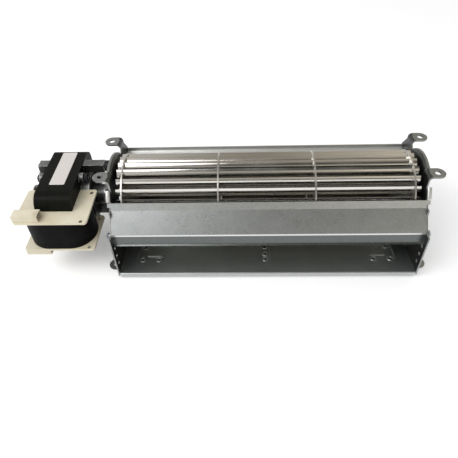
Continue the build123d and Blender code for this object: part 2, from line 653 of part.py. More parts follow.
# ---- Motor ----
def rounded_core():
    """Outline of a lamination in the YZ plane, with its four outer corners rounded."""
    depth = CORE_BACK_Y - CORE_FRONT_Y
    face = Pos((CORE_BACK_Y + CORE_FRONT_Y) / 2, 0) * Rectangle(depth, CORE_H)
    corners = face.vertices().sort_by(Axis.X)
    face = fillet(corners[:2], CORE_FRONT_RADIUS)
    corners = face.vertices().sort_by(Axis.X)
    face = fillet(corners[-2:], CORE_BACK_RADIUS)
    return extrude(Pos(STACK_L, 0, 0) * (Plane.YZ * face), amount=STACK, dir=(1, 0, 0))


def shading_rings():
    """Four copper loops through the pole tips: (loops, the slots that they need)."""
    loops, slots = [], []
    for side_y, side_z in ((1, 1), (-1, -1), (1, -1), (-1, 1)):
        near = (side_y * SHADE_NEAR[0], side_z * SHADE_NEAR[1])
        far = (side_y * SHADE_FAR[0], side_z * SHADE_FAR[1])
        legs = [cyl_x(STACK_L - SHADE_R, STACK_R + SHADE_R, SHADE_R, y, z) for y, z in (near, far)]
        slots += [cyl_x(STACK_L - 1, STACK_R + 1, SHADE_R, y, z) for y, z in (near, far)]
        length = sqrt((near[0] - far[0]) ** 2 + (near[1] - far[1]) ** 2)
        turn = atan2(far[1] - near[1], far[0] - near[0]) * 180 / pi
        middle = Pos(0, (near[0] + far[0]) / 2, (near[1] + far[1]) / 2) * Rot(turn, 0, 0)
        loop = legs[0] + legs[1]
        for x0 in (STACK_L - 2 * SHADE_R, STACK_R):
            loop += middle * block(x0, x0 + 2 * SHADE_R, -length / 2, length / 2, -SHADE_R, SHADE_R)
        loops.append(loop)
    return loops, slots


def stator():
    window = block(STACK_L - 1, STACK_R + 1, CORE_FRONT_Y - 1, WINDOW_BACK_Y, -LIMB_Z, LIMB_Z)
    loops, slots = shading_rings()
    yoke = rounded_core() - window - cyl_x(STACK_L - 1, STACK_R + 1, BORE_R) - slots
    for y, z in bolt_places():
        yoke -= cyl_x(STACK_L - 1, STACK_R + 1, BOLT_R, y, z)
    save("stator_yoke", yoke)
    save("stator_coil_leg", block(STACK_L, STACK_R, CORE_FRONT_Y, LEG_BACK_Y, -LIMB_Z, LIMB_Z))
    save("shading_rings", Compound(loops))


def bolt_places():
    return [(-BOLT_Y, BOLT_Z), (-BOLT_Y, -BOLT_Z)]


def coil_plan(grow):
    """Rounded plan of the coil, grown or shrunk by a margin."""
    return RectangleRounded(COIL_W + 2 * grow, COIL_D + 2 * grow, COIL_CORNER + grow)


def socket_block(top):
    """Moulded terminal socket on a bobbin flange, open towards the blower: (solid, cavity)."""
    x0 = MOTOR_X - BOBBIN_W / 2
    z0, z1 = (LIMB_Z, LIMB_Z + SOCKET_H) if top else (-LIMB_Z - SOCKET_H, -LIMB_Z)
    y0 = BOBBIN_FRONT_Y + SOCKET_SET_IN
    y1 = y0 + SOCKET_D
    solid = block(x0, x0 + SOCKET_W, y0, y1, z0, z1)
    cavity = block(x0 + SOCKET_BACK, x0 + SOCKET_W + 1, y0 + SOCKET_WALL_Y, y1 - SOCKET_WALL_Y,
                   z0 + SOCKET_WALL_Z, z1 - SOCKET_WALL_Z)
    return solid, cavity


def terminal(top):
    """Brass blade inside a socket."""
    x0 = MOTOR_X - BOBBIN_W / 2
    z = (LIMB_Z + SOCKET_H / 2) * (1 if top else -1)
    y = BOBBIN_FRONT_Y + SOCKET_SET_IN + SOCKET_D / 2
    return block(x0 + TERMINAL_ROOT, x0 + SOCKET_W - TERMINAL_SHORT, y - TERMINAL_W / 2, y + TERMINAL_W / 2,
                 z - TERMINAL_T / 2, z + TERMINAL_T / 2)


def coil_and_bobbin():
    centre = Pos(MOTOR_X, COIL_MID_Y, 0)
    leg = block(STACK_L, STACK_R, CORE_FRONT_Y, LEG_BACK_Y, -LIMB_Z, LIMB_Z)
    leg_mid = Pos(MOTOR_X, (CORE_FRONT_Y + LEG_BACK_Y) / 2, 0)
    spool = leg_mid * Box(STACK + 2 * SPOOL_T, LEG_T + 2 * SPOOL_T, BOBBIN_H)
    inner_h = BOBBIN_H - 2 * FLANGE_T
    flange_plan = RectangleRounded(BOBBIN_W, BOBBIN_BACK_Y - BOBBIN_FRONT_Y, 2.0)
    bobbin = spool
    for z in (LIMB_Z - FLANGE_T, -LIMB_Z):
        bobbin += centre * Pos(0, 0, z) * extrude(flange_plan, amount=FLANGE_T)
    for top in (True, False):
        solid, cavity = socket_block(top)
        bobbin = bobbin + solid - cavity - terminal(top)
    for x, y in FLANGE_HOLES:
        bobbin -= cyl_z(-LIMB_Z - 1, LIMB_Z + 1, FLANGE_HOLE_R, MOTOR_X + BOBBIN_W / 2 - x, y)
    save("coil_bobbin", bobbin - leg)

    winding = extrude(coil_plan(-TAPE_T), amount=inner_h / 2, both=True)
    save("coil_winding", centre * winding - spool)
    tape = extrude(coil_plan(0), amount=inner_h / 2, both=True) - winding
    save("coil_tape", centre * tape)
    save("terminal_blades", Compound([terminal(True), terminal(False)]))


def bearing_bracket(reach, hub_len):
    """Die-cast bracket against the stack's right face: two arms, a cup behind the rotor, a bearing hub."""
    face = STACK_R
    web_x = face + WEB_OFFSET
    cup = ring_x(face, web_x, CUP_R - CUP_T, CUP_R)
    web = cyl_x(web_x - WEB_T, web_x, CUP_R)
    hub = cyl_x(web_x, web_x + hub_len, HUB_OUT_R)
    bracket = cup + web + hub
    for z in (1, -1):
        arm = xz_prism(
            [(face, z * (ARM_Z - ARM_H / 2)), (face, z * (ARM_Z + ARM_H / 2)),
             (face + reach, z * (ARM_Z + ARM_H / 2)), (face + reach, z * (ARM_Z - ARM_H / 2)),
             (web_x + hub_len * 0.8, z * (ARM_Z - ARM_H / 2)),
             (web_x + hub_len * 0.45, z * (HUB_OUT_R - 1.5)),
             (web_x - WEB_T, z * (HUB_OUT_R - 1.5)), (web_x - WEB_T, z * (ARM_Z - ARM_H / 2))],
            ARM_Y - ARM_W / 2, ARM_Y + ARM_W / 2)
        bracket += arm
    for y, z in bolt_places():
        bracket += cyl_x(face, face + LUG_T, LUG_R, y, z)
    keep = block(face - 1, face + reach + 1, CUP_FRONT_Y, CORE_BACK_Y, -CORE_H / 2, CORE_H / 2)
    bracket = bracket & keep
    bracket -= cyl_x(face - 1, web_x - WEB_T, CUP_R - CUP_T)
    bracket -= cyl_x(face - 1, web_x + hub_len + 1, SHAFT_R + 1.0)
    bracket -= cyl_x(web_x + 1.0, web_x + hub_len + 1, BUSH_OUT_R)
    for y, z in bolt_places():
        bracket -= cyl_x(face - 1, face + LUG_T + 1, BOLT_R, y, z)
    return bracket


def to_outer_end(shape):
    """Mirror a blower-side motor piece to the stack's outer face."""
    return mirror(shape, Plane(origin=(MOTOR_X, 0, 0), z_dir=(1, 0, 0)))


def brackets_and_bearings():
    web_x = STACK_R + WEB_OFFSET
    inner = bearing_bracket(ARM_REACH, HUB_LEN)
    outer = to_outer_end(bearing_bracket(ARM_REACH_OUTER, HUB_LEN))
    for z in (ARM_Z, -ARM_Z):
        arm_end = STACK_R + ARM_REACH
        inner -= cyl_x(arm_end - GROMMET_SCREW_GRIP, arm_end + 1, GROMMET_SCREW_R, ARM_Y, z)
    save("inner_bearing_bracket", inner)
    save("outer_bearing_bracket", outer)
    bush = ring_x(web_x + 1.0, web_x + HUB_LEN, BUSH_R, BUSH_OUT_R)
    save("inner_motor_bush", bush)
    save("outer_motor_bush", to_outer_end(bush))
    clip = ring_x(web_x + HUB_LEN, web_x + HUB_LEN + CLIP_T, SHAFT_R + 0.8, HUB_OUT_R - 0.3)
    save("inner_bush_clip", clip)
    save("outer_bush_clip", to_outer_end(clip))


def motor_bolts():
    """Two long screws through both brackets and the stack, with hexagon nuts."""
    bolts, nuts = [], []
    x_head = STACK_L - LUG_T
    x_nut = STACK_R + LUG_T
    for y, z in bolt_places():
        shank = cyl_x(x_head, x_nut + NUT_T + 1.2, BOLT_R, y, z)
        head = cyl_x(x_head - 2.0, x_head, BOLT_HEAD_R, y, z)
        head = chamfer(head.edges().group_by(Axis.X)[0], 0.8)
        slot = block(x_head - 2.5, x_head - 1.1, y - 4, y + 4, z - 0.35, z + 0.35)
        bolts.append(head - slot + shank)
        hexagon = Plane.YZ * RegularPolygon(BOLT_HEAD_R, 6)
        nut = Pos(x_nut, y, z) * extrude(hexagon, amount=NUT_T, dir=(1, 0, 0))
        nuts.append(nut - shank)
    save("motor_through_bolts", Compound(bolts))
    save("motor_bolt_nuts", Compound(nuts))


def motor_mounting():
    """Rubber grommets, steel sleeves and screws that hang the motor on its end plate."""
    x_arm = STACK_R + ARM_REACH
    grommets, sleeves, screws = [], [], []
    x_head = -PLATE_IN + GROMMET_LIP
    waist_r = GROMMET_R - GROMMET_WAIST
    collar_end = x_arm + GROMMET_COLLAR
    flange_start = -PLATE_OUT - GROMMET_FLANGE
    grommet = turned_x([
        (x_arm, SLEEVE_R), (x_arm, GROMMET_R - GROMMET_EASE), (x_arm + GROMMET_EASE, GROMMET_R),
        (collar_end, GROMMET_R), (collar_end + GROMMET_WAIST, waist_r),
        (flange_start - GROMMET_EASE, waist_r), (flange_start, GROMMET_R),
        (-PLATE_OUT, GROMMET_R), (-PLATE_OUT, GROMMET_NECK_R), (-PLATE_IN, GROMMET_NECK_R),
        (-PLATE_IN, GROMMET_R), (x_head, GROMMET_R - GROMMET_EASE / 2), (x_head, SLEEVE_R)])
    for z in (ARM_Z, -ARM_Z):
        grommets.append(Pos(0, ARM_Y, z) * grommet)
        sleeves.append(ring_x(x_arm, x_head, GROMMET_SCREW_R, SLEEVE_R, ARM_Y, z))
        head_end = x_head + GROMMET_SCREW_HEAD_H
        head = cyl_x(x_head, head_end, GROMMET_SCREW_HEAD_R, ARM_Y, z)
        head = chamfer(head.edges().group_by(Axis.X)[-1], GROMMET_SCREW_HEAD_H / 2)
        slot = block(head_end - GROMMET_SCREW_HEAD_H / 2, head_end + 1, ARM_Y - GROMMET_R, ARM_Y + GROMMET_R,
                     z - CROSS_W / 2, z + CROSS_W / 2)
        shank = cyl_x(x_arm - GROMMET_SCREW_GRIP, x_head, GROMMET_SCREW_R, ARM_Y, z)
        screws.append(head - slot + shank)
    save("motor_grommets", Compound(grommets))
    save("grommet_sleeves", Compound(sleeves))
    save("motor_mounting_screws", Compound(screws))


def blank_label():
    """Plain polyester label on top of the stack."""
    x_mid, y_mid = MOTOR_X + 0.3, (CORE_FRONT_Y + CORE_BACK_Y) / 2 + 5.0
    plan = RectangleRounded(LABEL_W, LABEL_L, 0.8)
    save("blank_label", Pos(x_mid, y_mid, CORE_H / 2) * extrude(plan, amount=LABEL_T))


def main():
    os.makedirs("parts", exist_ok=True)
    impeller()
    drive_parts()
    rotor()
    scroll_housing()
    tongue_plate()
    end_plates()
    far_bearing()
    stator()
    coil_and_bobbin()
    brackets_and_bearings()
    motor_bolts()
    motor_mounting()
    blank_label()


main()
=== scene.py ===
import math

import bmesh
import bpy
from bpy.props import FloatProperty, FloatVectorProperty, IntProperty, PointerProperty
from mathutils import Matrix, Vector


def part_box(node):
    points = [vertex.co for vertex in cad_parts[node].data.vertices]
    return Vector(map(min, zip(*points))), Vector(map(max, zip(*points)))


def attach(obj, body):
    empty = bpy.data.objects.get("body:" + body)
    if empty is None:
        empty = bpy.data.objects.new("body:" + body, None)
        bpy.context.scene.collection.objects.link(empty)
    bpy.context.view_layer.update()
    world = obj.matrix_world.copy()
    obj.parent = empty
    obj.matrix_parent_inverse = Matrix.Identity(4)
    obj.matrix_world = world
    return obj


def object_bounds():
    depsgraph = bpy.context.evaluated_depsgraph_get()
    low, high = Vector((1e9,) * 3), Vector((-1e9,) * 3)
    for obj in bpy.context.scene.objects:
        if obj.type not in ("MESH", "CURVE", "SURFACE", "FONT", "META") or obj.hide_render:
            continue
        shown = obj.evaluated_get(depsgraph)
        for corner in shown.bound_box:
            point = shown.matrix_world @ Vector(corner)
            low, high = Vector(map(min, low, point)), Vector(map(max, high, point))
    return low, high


bl_info = {
    "name": "Cross Flow Fan",
    "version": (1, 0, 0),
    "blender": (4, 5, 0),
    "location": "3D View > Sidebar > Fan",
    "description": "Finishes, screw threads and studio for a tangential blower with its motor",
    "category": "Object",
}

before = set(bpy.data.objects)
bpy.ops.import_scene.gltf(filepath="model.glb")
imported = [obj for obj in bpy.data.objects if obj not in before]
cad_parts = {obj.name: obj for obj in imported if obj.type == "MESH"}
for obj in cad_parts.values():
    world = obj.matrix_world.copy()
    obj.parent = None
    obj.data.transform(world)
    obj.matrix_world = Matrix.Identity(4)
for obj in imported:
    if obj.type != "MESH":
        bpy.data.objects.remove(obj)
CAD_BOUNDS = [list(corner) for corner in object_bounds()]
FLOOR_Z = CAD_BOUNDS[0][2]


# ---- Sizes and colours ----
def colour(name, description, default):
    return FloatVectorProperty(
        name=name, description=description, default=default, subtype="COLOR", size=3, min=0, max=1)


def length(name, description, default):
    return FloatProperty(name=name, description=description, default=default, unit="LENGTH", min=0)


class FanSheetSettings(bpy.types.PropertyGroup):
    """Galvanised sheet of the scroll, tongue and end plates."""
    zinc: colour("Zinc", "Bright crystals of the zinc coating", (0.545, 0.565, 0.56))
    zinc_dark: colour("Dark zinc", "Dull crystals of the zinc coating", (0.45, 0.47, 0.465))
    plate_zinc: colour("End plate", "Zinc of the end plates", (0.32, 0.33, 0.32))
    plate_zinc_dark: colour("Dark end plate", "Dull crystals of the end plates",
                            (0.22, 0.225, 0.22))
    # Painted shade on the scroll's faces that look at the wheel
    channel: colour("Channel", "Shaded zinc inside the scroll", (0.34, 0.375, 0.365))
    # Painted shade on the faces of the end plates and the tongue that look at the wheel
    plate_inside_shade: colour("Plate inside", "Shaded zinc inside the end plates", (0.035, 0.038, 0.036))
    # Painted shade below the tongue's crease
    lip: colour("Tongue's lip", "Dull zinc below the tongue's crease", (0.075, 0.084, 0.082))
    crystal: length("Crystal", "Width of a zinc crystal", 0.0011)


class FanWheelSettings(bpy.types.PropertyGroup):
    """Impeller and its hub."""
    blade: colour("Blades", "Rolled aluminium of the blades", (0.72, 0.70, 0.655))
    blade_dull: colour("Dull blades", "Oil film on the blades", (0.42, 0.40, 0.37))
    disc: colour("Discs", "Steel of the discs", (0.66, 0.65, 0.62))
    disc_dull: colour("Dull discs", "Oiled steel of the discs", (0.42, 0.41, 0.39))
    hub: colour("Hub", "Turned steel of hub and shafts", (0.50, 0.50, 0.50))
    rolling: length("Rolling marks", "Distance between rolling marks across the blades", 0.0006)


class FanMotorSettings(bpy.types.PropertyGroup):
    """Shaded-pole motor."""
    lacquer: colour("Lacquer", "Black lacquer of the stack", (0.0045, 0.005, 0.0035))
    lacquer_worn: colour("Worn lacquer", "Lamination edges under thin lacquer",
                         (0.017, 0.018, 0.013))
    lamination: length("Lamination", "Thickness of a lamination", 0.0005)
    tape: colour("Coil tape", "Black tape round the coil", (0.0028, 0.0028, 0.003))
    tape_worn: colour("Rubbed tape", "Rubbed ridges of the coil tape", (0.008, 0.008, 0.009))
    tape_lap: length("Tape lap", "Height of one turn of the tape", 0.0011)
    nylon: colour("Bobbin", "Natural nylon of the bobbin", (0.69, 0.64, 0.50))
    nylon_aged: colour("Aged bobbin", "Yellowed nylon", (0.52, 0.44, 0.29))
    casting: colour("Casting", "Zinc die casting of the brackets", (0.22, 0.225, 0.22))
    casting_dull: colour("Dull casting", "Hollows of the casting", (0.10, 0.105, 0.10))
    copper: colour("Copper", "Shading rings", (0.80, 0.36, 0.20))
    label: colour("Label", "Blank polyester label", (0.62, 0.585, 0.565))
    rubber: colour("Rubber", "Grommets and bearing ring", (0.012, 0.012, 0.012))


class FanThreadSettings(bpy.types.PropertyGroup):
    """Threads on the screw ends that stand out of the sheet and the nuts."""
    sheet_pitch: length("Sheet screw pitch", "Distance between turns of a self-tapping screw",
                        0.0011)
    sheet_height: length("Sheet screw thread", "Height of a self-tapping screw's thread", 0.00035)
    bolt_pitch: length("Bolt pitch", "Distance between turns of a motor bolt", 0.0006)
    bolt_height: length("Bolt thread", "Height of a motor bolt's thread", 0.00012)
    steps: IntProperty(name="Steps", description="Faces round one turn of a thread", default=28,
                       min=8)


class FanStudioSettings(bpy.types.PropertyGroup):
    """Floor, light and camera."""
    floor_size: length("Floor", "Side of the floor", 8.0)
    floor_paint: colour("Floor paint", "Colour of the floor", (0.95, 0.95, 0.95))
    # Painted shadow on the floor under the scroll
    floor_shadow: colour("Under the scroll", "Colour of the floor under the scroll",
                       (0.14, 0.14, 0.14))
    floor_glow: colour("Floor glow", "Light that the open floor seems to give off",
                       (0.17, 0.17, 0.17))
    ceiling: colour("Ceiling", "Dim ceiling away from the window", (0.30, 0.275, 0.235))
    low_wall: colour("Low wall", "Foot of the wall behind the camera", (0.025, 0.025, 0.024))
    lit_wall: colour("Lit wall", "Middle of the wall behind the camera", (0.44, 0.41, 0.36))
    high_wall: colour("High wall", "Top of the wall behind the camera", (0.05, 0.049, 0.045))
    daylight: FloatProperty(name="Daylight", description="Level of the soft light from all round",
                            default=0.72, min=0)
    window: FloatProperty(name="Window", description="Power of the large soft lamp on the left",
                          default=3.7, min=0, subtype="POWER")
    fill: FloatProperty(name="Fill", description="Power of the soft lamp above", default=2.2, min=0,
                        subtype="POWER")
    camera_place: FloatVectorProperty(name="Camera", description="Place of the camera",
                                      default=(-0.01569, -0.26910, 0.19536),
                                      subtype="TRANSLATION")
    camera_turn: FloatVectorProperty(name="Camera turn", description="Direction of the camera",
                                     default=tuple(math.radians(a) for a in (46.258, 1.678, 1.014)),
                                     subtype="EULER")
    lens: FloatProperty(name="Lens", description="Focal length on a 36 mm sensor", default=36.157,
                        unit="CAMERA")
    rise: FloatProperty(name="Rise", description="Vertical shift of the lens", default=-0.0212)


# ---- Shader nodes ----
def put(tree, kind, links=(), **values):
    """Node of one kind, with its settings and with (socket, source) links."""
    made = tree.nodes.new(kind)
    for key, value in values.items():
        setattr(made, key, value)
    for socket, source in links:
        if isinstance(source, bpy.types.NodeSocket):
            tree.links.new(source, made.inputs[socket])
        else:
            made.inputs[socket].default_value = source
    return made


def calc(tree, operation, a, b=0.0, clamp=False):
    """Result of one Math node."""
    links = [(0, a), (1, b)]
    return put(tree, "ShaderNodeMath", links, operation=operation, use_clamp=clamp).outputs[0]


def vector_calc(tree, operation, *vectors):
    """Vector that one Vector Math node makes."""
    return put(tree, "ShaderNodeVectorMath", enumerate(vectors), operation=operation).outputs[0]


def measure(tree, operation, *vectors):
    """Number that one Vector Math node makes, such as a length or a dot product."""
    made = put(tree, "ShaderNodeVectorMath", enumerate(vectors), operation=operation)
    return made.outputs["Value"]


def scaled(tree, vector, factor):
    """A vector times a number."""
    links = [(0, vector), ("Scale", factor)]
    return put(tree, "ShaderNodeVectorMath", links, operation="SCALE").outputs[0]


def spread(tree, value, low, high, to_low=0.0, to_high=1.0):
    """Stretches a value from low..high to a new range, clamped."""
    return put(tree, "ShaderNodeMapRange", [
        (0, value), (1, low), (2, high), (3, to_low), (4, to_high)]).outputs[0]


def noise(tree, vector, scale, detail):
    """Soft noise between 0 and 1."""
    links = [("Vector", vector), ("Scale", scale), ("Detail", detail)]
    return put(tree, "ShaderNodeTexNoise", links).outputs[0]


def parts(tree, vector):
    """The X, Y and Z of a vector."""
    return put(tree, "ShaderNodeSeparateXYZ", [(0, vector)]).outputs


def facing(tree):
    """Direction that the face looks in."""
    return put(tree, "ShaderNodeNewGeometry").outputs["Normal"]


def mixed(tree, share, first, second):
    """Colour between two colours or colour sockets."""
    ends = [end if isinstance(end, bpy.types.NodeSocket) else (*end, 1.0)
            for end in (first, second)]
    links = [(0, share), (6, ends[0]), (7, ends[1])]
    return put(tree, "ShaderNodeMix", links, data_type="RGBA").outputs[2]


# ---- Shader node groups ----
def new_group(name, **inputs):
    """Group with a Vector and the given inputs, by their defaults: (group, its inputs)."""
    tree = bpy.data.node_groups.new(name, "ShaderNodeTree")
    tree.interface.new_socket("Vector", in_out="INPUT", socket_type="NodeSocketVector")
    for label, default in inputs.items():
        kind = "NodeSocketFloat" if isinstance(default, float) else "NodeSocketVector"
        tree.interface.new_socket(label, in_out="INPUT", socket_type=kind).default_value = default
    return tree, tree.nodes.new("NodeGroupInput").outputs


def with_outputs(tree, **results):
    """The group, with its results joined to its outputs."""
    for label in results:
        tree.interface.new_socket(label, in_out="OUTPUT", socket_type="NodeSocketFloat")
    put(tree, "NodeGroupOutput", results.items())
    return tree


def spangle_group():
    """Crystals of hot-dip zinc, each with its own tone."""
    tree, given = new_group("zinc_spangle", Crystal=0.001)
    fine = scaled(tree, given["Vector"], calc(tree, "DIVIDE", 1.0, given["Crystal"]))
    cells = [("Vector", fine), ("Scale", 1.0)]
    crystals = put(tree, "ShaderNodeTexVoronoi", cells, feature="F1").outputs["Color"]
    edge = put(tree, "ShaderNodeTexVoronoi", cells, feature="DISTANCE_TO_EDGE").outputs["Distance"]
    tone = put(tree, "ShaderNodeSeparateColor", [(0, crystals)]).outputs[0]
    patch = spread(tree, noise(tree, fine, 0.12, 4.0), 0.3, 0.7)
    shade = calc(tree, "ADD", calc(tree, "MULTIPLY", tone, 0.55),
                 calc(tree, "MULTIPLY", patch, 0.45))
    relief = calc(tree, "ADD", spread(tree, edge, 0.0, 0.12), calc(tree, "MULTIPLY", tone, 0.5))
    return with_outputs(tree, Tone=shade, Height=relief)


def drawn_group():
    """Rolling or turning marks: noise pulled out along one way."""
    tree, given = new_group("drawn_marks", Stretch=(1.0, 30.0, 30.0), Pitch=0.001)
    pulled = vector_calc(tree, "MULTIPLY", given["Vector"], given["Stretch"])
    fine = scaled(tree, pulled, calc(tree, "DIVIDE", 0.03, given["Pitch"]))
    streak = noise(tree, fine, 1.0, 5.0)
    broad = noise(tree, fine, 0.11, 2.0)
    tone = calc(tree, "ADD", calc(tree, "MULTIPLY", streak, 0.5),
                calc(tree, "MULTIPLY", broad, 0.5))
    return with_outputs(tree, Tone=spread(tree, tone, 0.35, 0.65), Height=streak)


def layer_group():
    """Even layers along one coordinate, such as laminations or turns of tape."""
    tree, given = new_group("even_layers", Along=0.0, Pitch=0.001, Waver=0.1)
    count = calc(tree, "DIVIDE", given["Along"], given["Pitch"])
    shift = calc(tree, "MULTIPLY", noise(tree, given["Vector"], 160.0, 3.0), given["Waver"])
    place = calc(tree, "ADD", count, shift)
    off_middle = calc(tree, "SUBTRACT", calc(tree, "FRACT", place), 0.5)
    hump = calc(tree, "MULTIPLY", calc(tree, "ABSOLUTE", off_middle), 2.0)
    groove = spread(tree, hump, 0.72, 0.98)
    layer = [("W", calc(tree, "FLOOR", place))]
    tone = put(tree, "ShaderNodeTexWhiteNoise", layer, noise_dimensions="1D").outputs["Value"]
    height = calc(tree, "SUBTRACT", calc(tree, "MULTIPLY", tone, 0.4), groove)
    return with_outputs(tree, Tone=tone, Groove=groove, Height=height)


def wear_group():
    """Rubbed outer edges, broken up by noise."""
    tree, given = new_group("edge_wear", Width=0.0005, Grain=900.0)
    rounded = put(tree, "ShaderNodeBevel", [("Radius", given["Width"])], samples=6).outputs[0]
    edge = spread(tree, measure(tree, "DOT_PRODUCT", rounded, facing(tree)), 0.995, 0.86)
    grit = spread(tree, noise(tree, given["Vector"], given["Grain"], 3.0), 0.35, 0.6)
    return with_outputs(tree, Mask=calc(tree, "MULTIPLY", edge, grit))


def grime_group():
    """Oil and dust: soft patches with specks, thicker on faces that look up."""
    tree, given = new_group("grime", Patch=40.0, Amount=0.3)
    patch = noise(tree, given["Vector"], given["Patch"], 6.0)
    speck = noise(tree, given["Vector"], 1500.0, 2.0)
    lying = spread(tree, parts(tree, facing(tree))["Z"], -0.4, 0.8, 0.35, 1.0)
    both = calc(tree, "MAXIMUM", spread(tree, patch, 0.42, 0.68), spread(tree, speck, 0.62, 0.7))
    mask = calc(tree, "MULTIPLY", calc(tree, "MULTIPLY", both, lying), given["Amount"], clamp=True)
    return with_outputs(tree, Mask=mask, Smear=patch)


def skin_group():
    """Fine unevenness of castings, mouldings, rubber and lacquer."""
    tree, given = new_group("skin", Grain=1200.0)
    fine = noise(tree, given["Vector"], given["Grain"], 4.0)
    broad = noise(tree, given["Vector"], calc(tree, "MULTIPLY", given["Grain"], 0.1), 2.0)
    return with_outputs(tree, Tone=spread(tree, broad, 0.3, 0.7),
                        Height=calc(tree, "ADD", fine, broad))


GROUP_MAKERS = {
    "zinc_spangle": spangle_group, "drawn_marks": drawn_group, "even_layers": layer_group,
    "edge_wear": wear_group, "grime": grime_group, "skin": skin_group,
}


def group(name):
    """The named node group, built the first time it is asked for."""
    return bpy.data.node_groups.get(name) or GROUP_MAKERS[name]()


# ---- Materials ----
OIL_AND_DUST = (0.12, 0.12, 0.11)
# Painted shade on the sides of the casting
PAINTED_SIDE_SHADE = (0.025, 0.025, 0.024)
# Painted highlight on the scroll's upper lip
PAINTED_LIP_HIGHLIGHT = (0.80, 0.81, 0.80)
# Painted highlight along the tongue's crease
PAINTED_CREASE_HIGHLIGHT = (0.86, 0.87, 0.86)
# Painted highlight on the end plates' rolled rims
PAINTED_RIM_HIGHLIGHT = (0.82, 0.82, 0.80)
RUBBED_ZINC = (0.72, 0.73, 0.72)
RUBBED_METAL = (0.8, 0.8, 0.78)
# Rubbed edges of the casting, bright enough to act as a painted highlight
RUBBED_AND_HIGHLIGHTED_EDGE = (0.8, 0.81, 0.8)
# Painted shade in the holes of the bobbin's flanges
PAINTED_HOLE_SHADE = (0.03, 0.02, 0.012)
# Painted shade in the mouths of the terminal sockets
PAINTED_MOUTH_SHADE = (0.07, 0.045, 0.02)
LAMINATION_GAP = (0.004, 0.004, 0.004)
ROTOR_BAR = (0.55, 0.55, 0.54)
ROTOR_STEEL = (0.07, 0.07, 0.068)
ROTOR_STAIN = (0.12, 0.11, 0.10)

ROTOR_BARS = 17
ROTOR_SKEW = 9.0                  # turn of the rotor's bars, in radians per metre of shaft
EVEN_MARKS = (9.0, 9.0, 9.0)      # stretch of marks that run in no one direction

# Depths of relief, in metres
SPANGLE_DEPTH = 0.000003
ROLLED_DEPTH = 0.000006
SKIN_DEPTH = 0.00003
LAMINATION_DEPTH = 0.00005
TAPE_DEPTH = 0.00009

# Where a tone starts and is full, in metres. A hole's X and Y are each an end of the bobbin's box
# (0 low, 1 high) and the distance from it.
LEVEL_FADE = 0.0006
# The painted highlight on the tongue's crease fades out over this distance
CREASE_FADE = (0.0008, 0.0003)    # distance above or below the tongue's crease
# Where the painted highlight on the end plates' rims lies
PLATE_OUTSIDE = (0.1086, 0.1092)  # distance from the middle, along the shaft
RIM_OUTER = (0.0335, 0.0325)      # distance from the shaft
RIM_INNER = (0.0272, 0.0280)
RIM_OUTLET = (-0.018, -0.023)     # place behind the shaft: the outlet is in front of it
# Where the painted shade in the flange holes and the socket mouths lies
HOLE_FADE = (0.00135, 0.00115)    # distance from the middle of a hole in the bobbin's flanges
MOUTH_FADE = (0.0046, 0.0020)     # distance from the middle of a socket's mouth
FLANGE_HOLES = (((1, -0.0032), (1, -0.0038)), ((1, -0.0039), (0, 0.0016)))
MOUTH_PAST_BLADE = 0.0005


class Finish:
    """One material: its shader, its coordinates, and the relief that is built up on it."""

    def __init__(self, name, metallic=0.0, coat=0.0, coat_roughness=0.1, specular=0.5):
        self.material = bpy.data.materials.new(name)
        self.material.use_nodes = True
        self.tree = self.material.node_tree
        self.shader = self.tree.nodes["Principled BSDF"]
        self.shader.inputs["Metallic"].default_value = metallic
        self.shader.inputs["Coat Weight"].default_value = coat
        self.shader.inputs["Coat Roughness"].default_value = coat_roughness
        self.shader.inputs["Specular IOR Level"].default_value = specular
        self.place = self.tree.nodes.new("ShaderNodeTexCoord").outputs["Object"]
        self.normal = None

    def effect(self, name, **values):
        """A shared group with this finish's own values."""
        links = [("Vector", self.place), *values.items()]
        return put(self.tree, "ShaderNodeGroup", links, node_tree=group(name)).outputs

    def blend(self, share, first, second, strength=1.0):
        """Colour between two colours or colour sockets, by a mask of some strength."""
        if strength != 1.0:
            share = calc(self.tree, "MULTIPLY", share, strength)
        return mixed(self.tree, share, first, second)

    def coordinate(self, axis):
        """One coordinate of the model, in metres."""
        return parts(self.tree, self.place)[axis]

    def raise_by(self, height, distance):
        """Adds relief of a real depth in metres."""
        links = [("Strength", 1.0), ("Distance", distance), ("Height", height)]
        if self.normal:
            links.append(("Normal", self.normal))
        self.normal = put(self.tree, "ShaderNodeBump", links).outputs["Normal"]

    def done(self, base, roughness):
        """The material, with its colour, roughness and relief joined to the shader."""
        self.tree.links.new(base, self.shader.inputs["Base Color"])
        self.tree.links.new(roughness, self.shader.inputs["Roughness"])
        self.tree.links.new(self.normal, self.shader.inputs["Normal"])
        return self.material


def shaft_axis():
    """A point on the middle line of the shaft."""
    low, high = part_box("motor_shaft")
    return (low + high) / 2


def facing_axis(look, across_only):
    """1 on faces that look at the wheel: along the shaft only, or from all round it."""
    axis = shaft_axis()
    keep = (1, 0, 0) if across_only else (0, 1, 1)
    to_axis = vector_calc(look.tree, "SUBTRACT", (0, axis[1], axis[2]), look.place)
    way = vector_calc(look.tree, "NORMALIZE", vector_calc(look.tree, "MULTIPLY", to_axis, keep))
    return spread(look.tree, measure(look.tree, "DOT_PRODUCT", facing(look.tree), way), 0.15, 0.45)


def below(look, level):
    """1 under a height of the model, which is given in metres."""
    return spread(look.tree, look.coordinate(2), level + LEVEL_FADE, level - LEVEL_FADE)


